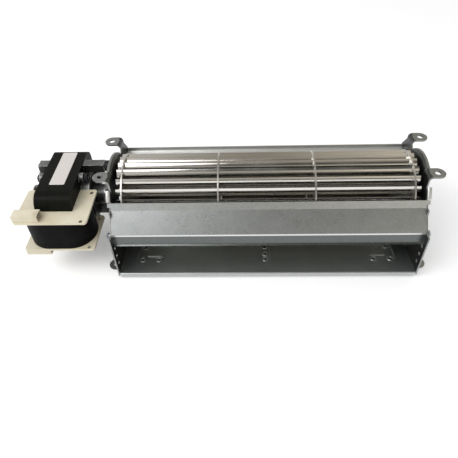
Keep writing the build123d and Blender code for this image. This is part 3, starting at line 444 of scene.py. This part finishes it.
def highlighted_rim(look):
    """1 on the rolled rim of an end plate, where a highlight is painted: outside, by the wheel's
    rim, on the outlet side.
    """
    axis = shaft_axis()
    place = parts(look.tree, look.place)
    across = [calc(look.tree, "SUBTRACT", place[i], axis[i]) for i in (1, 2)]
    squares = [calc(look.tree, "MULTIPLY", value, value) for value in across]
    radius = calc(look.tree, "SQRT", calc(look.tree, "ADD", *squares))
    rim = spread(look.tree, calc(look.tree, "ABSOLUTE", place[0]), *PLATE_OUTSIDE)
    for value, fade in ((radius, RIM_OUTER), (radius, RIM_INNER), (across[0], RIM_OUTLET)):
        rim = calc(look.tree, "MULTIPLY", rim, spread(look.tree, value, *fade))
    return rim


def galvanised(name, bright, dull, crystal, rough, inside, grime=0.25, across_only=False, lip=None,
               highlight_above=None):
    """Hot-dip zinc on rolled sheet: crystals, rolling marks, rubbed edges, painted shade on the air
    side.

    inside is the colour of the painted shade on the air side, up to a height over which a highlight
    is painted instead. With across_only the air side is what looks along the shaft, and a highlight
    is painted on the rim. lip is the colour of the painted shade and the height under which it
    starts; a highlight is painted along that height."""
    look = Finish(name, metallic=0.88)
    spangle = look.effect("zinc_spangle", Crystal=crystal)
    marks = look.effect("drawn_marks", Stretch=(2.0, 26.0, 26.0), Pitch=crystal * 0.6)
    wear = look.effect("edge_wear", Width=0.0004, Grain=700.0)
    film = look.effect("grime", Patch=34.0, Amount=grime)
    base = look.blend(spangle["Tone"], dull, bright)
    base = look.blend(marks["Tone"], base, dull, 0.16)
    if lip:
        shade, crease = lip
        # Painted shade below the crease, and a painted highlight along it
        base = look.blend(below(look, crease), base, shade, 0.85)
        above = calc(look.tree, "SUBTRACT", look.coordinate(2), crease)
        crease_highlight = spread(look.tree, calc(look.tree, "ABSOLUTE", above), *CREASE_FADE, 0.0, 0.8)
        base = look.blend(crease_highlight, base, PAINTED_CREASE_HIGHLIGHT)
    # Painted shade on the faces that look at the wheel
    inside_shade = calc(look.tree, "MULTIPLY", facing_axis(look, across_only),
               spread(look.tree, spangle["Tone"], 0, 1, 0.97, 0.82))
    if highlight_above:
        # Over this height a highlight is painted and the painted shade stops
        shaded = below(look, highlight_above)
        inside_shade = calc(look.tree, "MULTIPLY", inside_shade, shaded)
        base = look.blend(shaded, PAINTED_LIP_HIGHLIGHT, base)
    base = look.blend(inside_shade, base, inside)
    if across_only:
        # Painted highlight on the rolled rim
        base = look.blend(highlighted_rim(look), base, PAINTED_RIM_HIGHLIGHT, 0.85)
    base = look.blend(film["Mask"], base, OIL_AND_DUST, 0.35)
    base = look.blend(wear["Mask"], base, RUBBED_ZINC, 0.7)
    sheen = spread(look.tree, spangle["Tone"], 0, 1, rough - 0.015, rough + 0.02)
    roughness = calc(look.tree, "ADD", sheen, calc(look.tree, "MULTIPLY", film["Mask"], 0.25))
    look.raise_by(spangle["Height"], SPANGLE_DEPTH)
    look.raise_by(marks["Height"], ROLLED_DEPTH)
    return look.done(base, roughness)


def bright_metal(name, bright, dull, rough, stretch=EVEN_MARKS, pitch=0.0008, grime=0.15,
                 rubbed=0.5):
    """Rolled, drawn or turned metal with marks along one way and an oil film."""
    look = Finish(name, metallic=1.0)
    marks = look.effect("drawn_marks", Stretch=stretch, Pitch=pitch)
    wear = look.effect("edge_wear", Width=0.0003, Grain=900.0)
    film = look.effect("grime", Patch=26.0, Amount=grime)
    base = look.blend(marks["Tone"], bright, dull, 0.45)
    base = look.blend(film["Mask"], base, dull)
    base = look.blend(wear["Mask"], base, RUBBED_METAL, rubbed)
    smear = spread(look.tree, film["Smear"], 0.3, 0.7, rough - 0.05, rough + 0.09)
    roughness = calc(look.tree, "ADD", smear, calc(look.tree, "MULTIPLY", marks["Tone"], 0.06))
    look.raise_by(marks["Height"], ROLLED_DEPTH)
    return look.done(base, roughness)


def cast_metal(name, bright, dull, grain, rough, depth=0.00006, shaded_sides=False):
    """Die-cast or sintered metal: grainy skin, dull hollows, rubbed corners that carry a painted
    highlight, painted shade on faces that don't look up.
    """
    look = Finish(name, metallic=0.8)
    skin = look.effect("skin", Grain=grain)
    wear = look.effect("edge_wear", Width=0.0011, Grain=500.0)
    film = look.effect("grime", Patch=60.0, Amount=0.5)
    base = look.blend(skin["Tone"], dull, bright)
    base = look.blend(film["Mask"], base, dull, 0.7)
    if shaded_sides:
        # Painted shade on faces that don't look up
        up = parts(look.tree, facing(look.tree))["Z"]
        base = look.blend(spread(look.tree, up, 0.75, 0.25, 0.0, 0.85), base, PAINTED_SIDE_SHADE)
    # Rubbed edges, widened and brightened into a painted highlight
    base = look.blend(wear["Mask"], base, RUBBED_AND_HIGHLIGHTED_EDGE, 0.9)
    look.raise_by(skin["Height"], depth)
    return look.done(base, spread(look.tree, skin["Tone"], 0, 1, rough + 0.1, rough - 0.06))


def painted_socket_shade(look, base):
    """Painted shade, dark brown, in the mouths of the two terminal sockets and in the flanges'
    holes.
    """
    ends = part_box("coil_bobbin")
    # Painted shade in each hole of the flanges
    for hole in FLANGE_HOLES:
        x, y = (ends[end][axis] + inset for axis, (end, inset) in enumerate(hole))
        off = vector_calc(look.tree, "SUBTRACT", look.place, (x, y, 0))
        away = measure(look.tree, "LENGTH", vector_calc(look.tree, "MULTIPLY", off, (1, 1, 0)))
        base = look.blend(spread(look.tree, away, *HOLE_FADE, 0.0, 0.95), base, PAINTED_HOLE_SHADE)
    # Painted shade in the sockets' mouths, on the faces that look along X
    mouth_side = spread(look.tree, parts(look.tree, facing(look.tree))["X"], 0.3, 0.7, 0.25, 0.95)
    low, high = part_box("terminal_blades")
    for z in (low[2], high[2]):
        mouth = (high[0] + MOUTH_PAST_BLADE, (low[1] + high[1]) / 2, z)
        near = spread(look.tree, measure(look.tree, "DISTANCE", look.place, mouth), *MOUTH_FADE)
        base = look.blend(calc(look.tree, "MULTIPLY", near, mouth_side), base, PAINTED_MOUTH_SHADE)
    return base


def moulded(name, fresh, aged, grain, rough, coat=0.0, specular=0.5, depth=SKIN_DEPTH,
            sockets=False):
    """Moulded plastic, rubber or film: fine skin, ageing in patches, rubbed edges."""
    look = Finish(name, coat=coat, coat_roughness=0.25, specular=specular)
    skin = look.effect("skin", Grain=grain)
    film = look.effect("grime", Patch=48.0, Amount=0.55)
    wear = look.effect("edge_wear", Width=0.0004, Grain=800.0)
    base = look.blend(skin["Tone"], fresh, aged, 0.35)
    base = look.blend(film["Mask"], base, aged)
    base = look.blend(wear["Mask"], base, aged, 0.6)
    if sockets:
        # Painted shade in the bobbin's sockets and holes
        base = painted_socket_shade(look, base)
    look.raise_by(skin["Height"], depth)
    return look.done(base, spread(look.tree, film["Smear"], 0.3, 0.7, rough - 0.08, rough + 0.1))


def lacquered_stack(name, settings):
    """Laminations under black lacquer, stacked along the shaft."""
    look = Finish(name, coat=0.01, coat_roughness=0.12, specular=0.04)
    sheets = look.effect("even_layers", Along=look.coordinate(0), Pitch=settings.lamination,
                         Waver=0.12)
    skin = look.effect("skin", Grain=420.0)
    wear = look.effect("edge_wear", Width=0.0006, Grain=420.0)
    base = look.blend(sheets["Tone"], settings.lacquer, settings.lacquer_worn, 0.35)
    base = look.blend(sheets["Groove"], base, LAMINATION_GAP)
    base = look.blend(wear["Mask"], base, settings.lacquer_worn, 0.8)
    look.raise_by(sheets["Height"], LAMINATION_DEPTH)
    look.raise_by(skin["Height"], LAMINATION_DEPTH)
    return look.done(base, spread(look.tree, skin["Tone"], 0, 1, 0.28, 0.46))


def wound_layers(name, dark, rubbed, pitch, rough, metallic=0.0):
    """Tape or wire laid in turns, one above the other."""
    look = Finish(name, metallic=metallic, specular=0.05)
    turns = look.effect("even_layers", Along=look.coordinate(2), Pitch=pitch, Waver=0.5)
    skin = look.effect("skin", Grain=700.0)
    gap = tuple(value * 0.4 for value in dark)
    base = look.blend(turns["Tone"], dark, rubbed, 0.6)
    base = look.blend(turns["Groove"], base, gap, 0.8)
    look.raise_by(turns["Height"], TAPE_DEPTH)
    look.raise_by(skin["Height"], SKIN_DEPTH)
    return look.done(base, spread(look.tree, skin["Tone"], 0, 1, rough - 0.05, rough + 0.12))


def caged_rotor(name):
    """Skewed aluminium bars between dark laminations, with cast end rings."""
    look = Finish(name, metallic=0.75)
    place = parts(look.tree, look.place)
    low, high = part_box("rotor")
    centre = (low + high) / 2
    across = [calc(look.tree, "SUBTRACT", place[i], centre[i]) for i in (2, 1)]
    turn = calc(look.tree, "ARCTAN2", *across)
    skewed = calc(look.tree, "ADD", turn, calc(look.tree, "MULTIPLY", place[0], ROTOR_SKEW))
    bars = look.effect("even_layers", Along=skewed, Pitch=math.tau / ROTOR_BARS, Waver=0.02)
    skin = look.effect("skin", Grain=900.0)
    base = look.blend(bars["Groove"], ROTOR_STEEL, ROTOR_BAR)
    base = look.blend(skin["Tone"], base, ROTOR_STAIN, 0.3)
    look.raise_by(bars["Height"], LAMINATION_DEPTH)
    look.raise_by(skin["Height"], SKIN_DEPTH)
    return look.done(base, spread(look.tree, skin["Tone"], 0, 1, 0.3, 0.5))


def dress(material, slot, *nodes):
    """Gives a finish to solids of the model."""
    material["slot"] = slot
    for node in nodes:
        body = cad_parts[node]
        if body.data.materials:
            for i in range(len(body.data.materials)):
                body.data.materials[i] = material
        else:
            body.data.materials.append(material)


# ---- Screw threads ----
THREAD_ROOT = 0.00004         # depth of a thread's root inside its screw, in metres
THREAD_BASE = 0.32            # half the width of the ridge at its foot, as a share of the pitch
THREAD_CREST = 0.05           # half the width of its crest
RUN_OUT = 4                   # the ridge rises and falls over one part in this many of its length

SHEET_SCREW_RADIUS = 0.0021
POINT_START = 0.6             # share of the sheet screw that its straight shank takes
POINT_TAPER = 1.7             # how fast the point gets thinner along the screw
POINT_TIP = 0.35              # thickness of the tip, as a share of the shank
SHEET_SCREW_GAP = 0.0003      # plain part at each end of the sheet screw
BOLT_RADIUS = 0.00175
BOLT_INSET = 0.0032           # from the edge of a bolt's head to its middle line
BOLT_GAP = 0.0001             # plain part at each end of the bolt


def piece_from(mesh, name, material):
    """Object made from a bmesh, with its faces turned outwards."""
    bmesh.ops.recalc_face_normals(mesh, faces=mesh.faces)
    data = bpy.data.meshes.new(name)
    mesh.to_mesh(data)
    mesh.free()
    data.materials.append(material)
    piece = bpy.data.objects.new(name, data)
    bpy.context.collection.objects.link(piece)
    return piece


def thread(name, start, length_x, radius_at, pitch, height, steps, material):
    """Closed helical ridge round a screw that points along X.

    start is on the screw's middle line, and radius_at gives its radius at a distance from there."""
    mesh = bmesh.new()
    way = 1 if length_x > 0 else -1
    count = max(2, int(abs(length_x) / pitch * steps))
    rings = []
    for i in range(count + 1):
        share = i / count
        angle = math.tau * i / steps
        x = length_x * share
        fade = min(1.0, RUN_OUT * share, RUN_OUT * (1 - share))
        shank = radius_at(abs(x))
        root, crest = shank - THREAD_ROOT, shank + height * fade
        around = Vector((0, math.cos(angle), math.sin(angle)))
        rings.append([
            mesh.verts.new(start + Vector((x + way * offset * pitch, 0, 0)) + around * radius)
            for offset, radius in ((-THREAD_BASE, root), (-THREAD_CREST, crest),
                                   (THREAD_CREST, crest), (THREAD_BASE, root))])
    for a, b in zip(rings, rings[1:]):
        for k in range(4):
            mesh.faces.new((a[k], a[(k + 1) % 4], b[(k + 1) % 4], b[k]))
    mesh.faces.new(rings[0][::-1])
    mesh.faces.new(rings[-1])
    piece = piece_from(mesh, name, material)
    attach(piece, "blower")


# ---- Collars of the pressed feet ----
FOOT_PLACES = {-1: (-0.087, -0.03815), 0: (0.0, -0.03815), 1: (0.087, -0.03815)}
FLOOR_HEIGHT = -0.06812       # pressed floor of the feet at their front holes
FLOOR_SLOPE = -0.0746         # rise of that floor for each metre towards the back
SIDE_HOLES = ((-0.0063, 0.0), (0.0063, 0.0), (-0.0063, 0.0136))
MIDDLE_HOLES = ((0.0, 0.0), (0.0, 0.0057), (0.0, 0.0136))
COLLAR_STEPS = 28
# Section of a collar: distance from the hole's middle and height over the floor, in millimetres
COLLAR = ((1.62, -0.3), (1.62, 0.5), (1.78, 0.7), (2.05, 0.68), (2.35, 0.4), (2.5, -0.1))
MILLIMETRE = 0.001


def foot_collars(material):
    """Rounded burr that the punch leaves round each hole of the pressed feet."""
    mesh = bmesh.new()
    tilt = Vector((0, 0, 1)).rotation_difference(Vector((0, -FLOOR_SLOPE, 1))).to_matrix()
    angles = [math.tau * i / COLLAR_STEPS for i in range(COLLAR_STEPS)]
    for side, (x, y) in FOOT_PLACES.items():
        for dx, dy in SIDE_HOLES if side else MIDDLE_HOLES:
            centre = Vector((x - side * dx, y + dy, FLOOR_HEIGHT + FLOOR_SLOPE * dy))
            rings = []
            for radius, height in COLLAR:
                around = [Vector((radius * math.cos(a), radius * math.sin(a), height))
                          for a in angles]
                rings.append([mesh.verts.new(centre + tilt @ spot * MILLIMETRE) for spot in around])
            for a, b in zip(rings, rings[1:] + rings[:1]):
                for i in range(COLLAR_STEPS):
                    j = (i + 1) % COLLAR_STEPS
                    mesh.faces.new((a[i], a[j], b[j], b[i])).smooth = True
    piece = piece_from(mesh, "foot_hole_collars", material)
    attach(piece, "blower")


# ---- Operators ----
CREASE_HEIGHT = 0.0094        # of the tongue's crease over the tongue's lower edge
HIGHLIGHT_HEIGHT = 0.0045         # of the scroll's upper lip, over which a highlight is painted


class FAN_OT_sheet_metal(bpy.types.Operator):
    """Finish the scroll, the tongue and the two end plates in galvanised sheet"""
    bl_idname = "fan.sheet_metal"
    bl_label = "Sheet Metal"

    def execute(self, context):
        sizes = context.scene.fan_sheet
        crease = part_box("tongue_plate")[0][2] + CREASE_HEIGHT
        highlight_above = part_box("scroll_housing")[1][2] - HIGHLIGHT_HEIGHT
        # Painted shade on the scroll's faces that look at the wheel, and a painted highlight on its
        # upper lip
        scroll = galvanised("zinc_of_scroll", sizes.zinc, sizes.zinc_dark, sizes.crystal,
                            rough=0.34, inside=sizes.channel, highlight_above=highlight_above)
        # Painted shade on the tongue's back and below its crease, and a painted highlight along the
        # crease
        tongue = galvanised("zinc_of_tongue", sizes.zinc, sizes.zinc_dark, sizes.crystal,
                            rough=0.28, inside=sizes.plate_inside_shade, grime=0.03,
                            lip=(sizes.lip, crease))
        # Painted shade inside the end plates, and a painted highlight on their rims
        plates = galvanised("zinc_of_end_plates", sizes.plate_zinc, sizes.plate_zinc_dark,
                            sizes.crystal, rough=0.38, inside=sizes.plate_inside_shade, across_only=True)
        dress(scroll, "galvanised_sheet", "scroll_housing")
        dress(tongue, "galvanised_sheet", "tongue_plate")
        dress(plates, "galvanised_plate", "motor_end_plate", "far_end_plate")
        burr = bright_metal("burnished_zinc", (0.66, 0.68, 0.67), (0.42, 0.44, 0.43), rough=0.3)
        foot_collars(burr)
        return {"FINISHED"}


class FAN_OT_wheel(bpy.types.Operator):
    """Finish the blades, discs, hub, rivets and shafts of the wheel"""
    bl_idname = "fan.wheel"
    bl_label = "Wheel"

    def execute(self, context):
        sizes = context.scene.fan_wheel
        blades = bright_metal("rolled_aluminium", sizes.blade, sizes.blade_dull, rough=0.13,
                              stretch=(1.0, 30.0, 30.0), pitch=sizes.rolling, rubbed=0.05)
        discs = bright_metal("pressed_disc_steel", sizes.disc, sizes.disc_dull, rough=0.3,
                             stretch=(8.0, 8.0, 8.0), pitch=0.0012)
        turned = bright_metal("turned_steel", sizes.hub, sizes.disc_dull, rough=0.26,
                              stretch=(30.0, 2.0, 2.0), pitch=0.0005)
        plated = bright_metal("zinc_plated_rivets", (0.5, 0.54, 0.58), (0.3, 0.32, 0.34), rough=0.3)
        dress(blades, "blade_aluminium", "impeller_blades")
        dress(discs, "disc_steel", "motor_end_disc", "far_end_disc", "support_ring_left",
              "support_ring_right")
        dress(turned, "machined_steel", "drive_hub", "far_stub_shaft", "motor_shaft")
        dress(plated, "zinc_steel", "motor_hub_rivets", "far_hub_rivets", "hub_set_screw")
        return {"FINISHED"}


class FAN_OT_stack(bpy.types.Operator):
    """Finish the lamination stack, the rotor, the shading rings and the blank label"""
    bl_idname = "fan.stack"
    bl_label = "Stack and Rotor"

    def execute(self, context):
        sizes = context.scene.fan_motor
        dress(lacquered_stack("lacquered_laminations", sizes), "lamination_steel", "stator_yoke",
              "stator_coil_leg")
        dress(caged_rotor("squirrel_cage"), "rotor_steel", "rotor")
        copper = bright_metal("shading_copper", sizes.copper, (0.35, 0.14, 0.08), rough=0.28,
                              stretch=(20.0, 3.0, 3.0), pitch=0.0006, grime=0.4)
        dress(copper, "copper", "shading_rings")
        label = moulded("blank_polyester_label", sizes.label, (0.58, 0.53, 0.48), grain=260.0,
                        rough=0.42, depth=0.00004)
        dress(label, "label_film", "blank_label")
        return {"FINISHED"}


class FAN_OT_coil(bpy.types.Operator):
    """Finish the coil, its tape, the bobbin and the terminals"""
    bl_idname = "fan.coil"
    bl_label = "Coil"

    def execute(self, context):
        sizes = context.scene.fan_motor
        tape = wound_layers("laid_coil_tape", sizes.tape, sizes.tape_worn, sizes.tape_lap,
                            rough=0.42)
        wire = wound_layers("enamelled_wire", (0.32, 0.09, 0.03), (0.6, 0.22, 0.08), pitch=0.0003,
                            rough=0.25, metallic=0.7)
        nylon = moulded("natural_nylon", sizes.nylon, sizes.nylon_aged, grain=900.0, rough=0.42,
                        coat=0.12, sockets=True)
        brass = bright_metal("terminal_brass", (0.74, 0.56, 0.27), (0.36, 0.25, 0.11), rough=0.26,
                             stretch=(2.0, 24.0, 24.0), pitch=0.0006, grime=0.35)
        dress(tape, "coil_tape", "coil_tape")
        dress(wire, "copper", "coil_winding")
        dress(nylon, "bobbin_nylon", "coil_bobbin")
        dress(brass, "brass_terminal", "terminal_blades")
        return {"FINISHED"}


class FAN_OT_bearings(bpy.types.Operator):
    """Finish the bearing brackets, bushes, clips and thrust washers"""
    bl_idname = "fan.bearings"
    bl_label = "Brackets and Bearings"

    def execute(self, context):
        sizes = context.scene.fan_motor
        # Painted shade on the casting's sides, and a painted highlight along its rubbed edges
        casting = cast_metal("zinc_die_casting", sizes.casting, sizes.casting_dull, grain=800.0,
                             rough=0.4, shaded_sides=True)
        bronze = cast_metal("sintered_bronze", (0.5, 0.33, 0.17), (0.26, 0.16, 0.08), grain=2600.0,
                            rough=0.4, depth=0.00002)
        spring = bright_metal("spring_steel", (0.45, 0.46, 0.47), (0.25, 0.25, 0.25), rough=0.28)
        washer = moulded("nylon_washer", (0.62, 0.6, 0.55), (0.4, 0.37, 0.3), grain=1200.0,
                         rough=0.45)
        dress(casting, "die_cast", "inner_bearing_bracket", "outer_bearing_bracket")
        dress(bronze, "sintered_bronze", "inner_motor_bush", "outer_motor_bush", "far_bearing_bush")
        dress(spring, "zinc_steel", "inner_bush_clip", "outer_bush_clip", "far_bearing_retainer")
        dress(washer, "nylon", "rotor_thrust_washers")
        return {"FINISHED"}


class FAN_OT_fasteners(bpy.types.Operator):
    """Finish the rubber mounts and the screws, and cut the threads of the screw ends that show"""
    bl_idname = "fan.fasteners"
    bl_label = "Mounts and Screws"

    def execute(self, context):
        sizes = context.scene.fan_thread
        rubber = moulded("black_rubber", context.scene.fan_motor.rubber, (0.035, 0.034, 0.032),
                         grain=1500.0, rough=0.5, specular=0.2)
        screws = bright_metal("zinc_plated_screws", (0.46, 0.51, 0.55), (0.26, 0.29, 0.31),
                              rough=0.28)
        dark = bright_metal("blackened_nuts", (0.035, 0.037, 0.04), (0.015, 0.016, 0.017),
                            rough=0.3, rubbed=0.12)
        dress(rubber, "black_rubber", "motor_grommets", "far_bearing_rubber")
        dress(screws, "zinc_steel", "tongue_screws", "motor_mounting_screws", "grommet_sleeves")
        dress(dark, "zinc_steel", "motor_through_bolts", "motor_bolt_nuts")
        self.cut_sheet_screws(sizes, screws)
        self.cut_bolts(sizes, dark)
        return {"FINISHED"}

    def cut_sheet_screws(self, sizes, material):
        """Threads of the two pointed screws that hold the tongue."""
        low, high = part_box("tongue_screws")
        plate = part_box("tongue_plate")[1][0]
        middle = (low + high) / 2
        reach = high[0] - plate

        def taper(x):
            past = x / reach - POINT_START
            return SHEET_SCREW_RADIUS * (1 if past < 0 else max(POINT_TIP, 1 - POINT_TAPER * past))

        for name, side in (("left_sheet_screw_thread", -1), ("right_sheet_screw_thread", 1)):
            start = Vector((side * (plate + SHEET_SCREW_GAP), middle[1], middle[2]))
            thread(name, start, side * (reach - 2 * SHEET_SCREW_GAP), taper, sizes.sheet_pitch,
                   sizes.sheet_height, sizes.steps, material)

    def cut_bolts(self, sizes, material):
        """Threads of the two motor bolts, outside their nuts."""
        low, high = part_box("motor_through_bolts")
        nut_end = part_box("motor_bolt_nuts")[1][0]
        for name, z in (("upper_bolt_thread", high[2] - BOLT_INSET),
                        ("lower_bolt_thread", low[2] + BOLT_INSET)):
            start = Vector((nut_end + BOLT_GAP, (low[1] + high[1]) / 2, z))
            thread(name, start, high[0] - nut_end - 2 * BOLT_GAP, lambda x: BOLT_RADIUS,
                   sizes.bolt_pitch, sizes.bolt_height, sizes.steps, material)


# Where one tone of the room gives way to the next, on a unit vector that points at its walls
WINDOW_SIDE = (-0.46, -0.02)            # X: white before, dim after
CEILING_RISE = (0.08, 0.42)             # Z: the ceiling starts
FRONT_WALL = (0.0, -0.25)               # Y: the wall behind the camera starts
RIGHT_GAIN = (0.06, 0.34, 1.0, 2.2)     # X, and how much lighter the right side is
WHITE = (1, 1, 1)
BLACK = (0, 0, 0)
UNDER_SCROLL = (0.012, 0.004)           # the painted shadow on the floor ends this far inside the scroll's edge
LAMP_ASPECT = 0.7


class FAN_OT_studio(bpy.types.Operator):
    """Lay the floor, hang the lamps and set the camera"""
    bl_idname = "fan.studio"
    bl_label = "Studio"

    def execute(self, context):
        sizes = context.scene.fan_studio
        self.lay_floor(context, sizes)
        self.light(context, sizes)
        self.set_camera(context, sizes)
        context.scene.view_settings.view_transform = "Standard"
        return {"FINISHED"}

    def seen(self, tree):
        """1 for rays from the camera and for rays that metal or glass sends on."""
        rays = tree.nodes.new("ShaderNodeLightPath").outputs
        first = calc(tree, "MAXIMUM", rays["Is Camera Ray"], rays["Is Glossy Ray"])
        return calc(tree, "MAXIMUM", first, rays["Is Transmission Ray"])

    def beyond_housing(self, tree):
        """0 on the floor under the scroll, where no light gets in, and 1 outside it."""
        low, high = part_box("scroll_housing")
        place = parts(tree, tree.nodes.new("ShaderNodeTexCoord").outputs["Object"])
        outside = 0.0
        for axis in (0, 1):
            middle, half = (low[axis] + high[axis]) / 2, (high[axis] - low[axis]) / 2
            away = calc(tree, "ABSOLUTE", calc(tree, "SUBTRACT", place[axis], middle))
            edge = [half - inset for inset in UNDER_SCROLL]
            outside = calc(tree, "MAXIMUM", outside, spread(tree, away, *edge))
        return outside

    def room(self, tree, sizes):
        """White walls by the window and behind, and dim ones in front, above and on the right."""
        way = parts(tree, tree.nodes.new("ShaderNodeTexCoord").outputs["Generated"])
        away = spread(tree, way["X"], *WINDOW_SIDE)
        above = spread(tree, way["Z"], *CEILING_RISE)
        front = spread(tree, way["Y"], *FRONT_WALL)
        wall = put(tree, "ShaderNodeValToRGB", [(0, way["Z"])])
        stops = ((0.08, sizes.low_wall), (0.26, sizes.lit_wall), (0.44, sizes.lit_wall),
                 (0.56, sizes.high_wall), (0.78, sizes.high_wall), (0.94, sizes.ceiling))
        steps = wall.color_ramp.elements
        for i, (height, tone) in enumerate(stops):
            step = steps[i] if i < 2 else steps.new(height)
            step.position = height
            step.color = (*tone, 1)
        grey = mixed(tree, front, sizes.ceiling, wall.outputs[0])
        lit = scaled(tree, grey, spread(tree, way["X"], *RIGHT_GAIN))
        share = calc(tree, "MULTIPLY", away, calc(tree, "MAXIMUM", front, above))
        return mixed(tree, share, WHITE, lit)

    def lay_floor(self, context, sizes):
        """White paper on which the part stands."""
        half = sizes.floor_size / 2
        mesh = bpy.data.meshes.new("floor")
        corners = [(-half, -half, FLOOR_Z), (half, -half, FLOOR_Z), (half, half, FLOOR_Z),
                   (-half, half, FLOOR_Z)]
        mesh.from_pydata(corners, [], [(0, 1, 2, 3)])
        floor = bpy.data.objects.new("floor", mesh)
        context.collection.objects.link(floor)
        paper = bpy.data.materials.new("white_paper")
        paper.use_nodes = True
        tree = paper.node_tree
        shader = tree.nodes["Principled BSDF"]
        shader.inputs["Roughness"].default_value = 0.9
        shader.inputs["Specular IOR Level"].default_value = 0.1
        beyond = self.beyond_housing(tree)
        # Painted shadow: the floor under the scroll takes a dark colour
        paint = mixed(tree, beyond, sizes.floor_shadow, sizes.floor_paint)
        tree.links.new(paint, shader.inputs["Base Color"])
        # No glow under the scroll, so that the painted shadow stays dark
        open_floor = calc(tree, "MULTIPLY", self.seen(tree), beyond)
        glow = mixed(tree, open_floor, BLACK, sizes.floor_glow)
        tree.links.new(glow, shader.inputs["Emission Color"])
        shader.inputs["Emission Strength"].default_value = 1.0
        mesh.materials.append(paper)

    def light(self, context, sizes):
        """Daylight from all round, the room that metal mirrors, and two soft lamps."""
        world = bpy.data.worlds.new("studio_walls")
        context.scene.world = world
        world.use_nodes = True
        tree = world.node_tree
        shade = mixed(tree, self.seen(tree), (sizes.daylight,) * 3, self.room(tree, sizes))
        tree.links.new(shade, tree.nodes["Background"].inputs["Color"])
        for name, power, place, wide in (
                ("window_lamp", sizes.window, Vector((-0.75, -0.35, 0.75)), 0.7),
                ("ceiling_lamp", sizes.fill, Vector((-0.40, -0.44, 0.76)), 0.6)):
            lamp = bpy.data.lights.new(name, "AREA")
            lamp.energy = power
            lamp.shape = "RECTANGLE"
            lamp.size = wide
            lamp.size_y = wide * LAMP_ASPECT
            holder = bpy.data.objects.new(name, lamp)
            context.collection.objects.link(holder)
            holder.location = place
            holder.rotation_euler = (-place).to_track_quat("-Z", "Y").to_euler()

    def set_camera(self, context, sizes):
        """Camera in front of the outlet, above it and a little to the left."""
        lens = bpy.data.cameras.new("studio_camera")
        lens.sensor_fit = "HORIZONTAL"
        lens.sensor_width = 36.0
        lens.lens = sizes.lens
        lens.shift_y = sizes.rise
        lens.clip_start = 0.01
        camera = bpy.data.objects.new("studio_camera", lens)
        context.collection.objects.link(camera)
        camera.location = sizes.camera_place
        camera.rotation_euler = sizes.camera_turn
        context.scene.camera = camera


class FAN_PT_sidebar(bpy.types.Panel):
    """Lists the fan's operators"""
    bl_idname = "FAN_PT_sidebar"
    bl_label = "Cross Flow Fan"
    bl_space_type = "VIEW_3D"
    bl_region_type = "UI"
    bl_category = "Fan"

    def draw(self, context):
        for operator in OPERATORS:
            self.layout.operator(operator.bl_idname)


OPERATORS = (
    FAN_OT_sheet_metal, FAN_OT_wheel, FAN_OT_stack, FAN_OT_coil, FAN_OT_bearings, FAN_OT_fasteners,
    FAN_OT_studio,
)
SETTINGS = {
    "fan_sheet": FanSheetSettings, "fan_wheel": FanWheelSettings, "fan_motor": FanMotorSettings,
    "fan_thread": FanThreadSettings, "fan_studio": FanStudioSettings,
}


def register():
    for name, settings in SETTINGS.items():
        bpy.utils.register_class(settings)
        setattr(bpy.types.Scene, name, PointerProperty(type=settings))
    for operator in OPERATORS:
        bpy.utils.register_class(operator)
    bpy.utils.register_class(FAN_PT_sidebar)


def unregister():
    bpy.utils.unregister_class(FAN_PT_sidebar)
    for operator in reversed(OPERATORS):
        bpy.utils.unregister_class(operator)
    for name, settings in SETTINGS.items():
        delattr(bpy.types.Scene, name)
        bpy.utils.unregister_class(settings)


def main():
    register()
    bpy.ops.fan.sheet_metal()
    bpy.ops.fan.wheel()
    bpy.ops.fan.stack()
    bpy.ops.fan.coil()
    bpy.ops.fan.bearings()
    bpy.ops.fan.fasteners()
    bpy.ops.fan.studio()


if __name__ == "__main__":
    main()
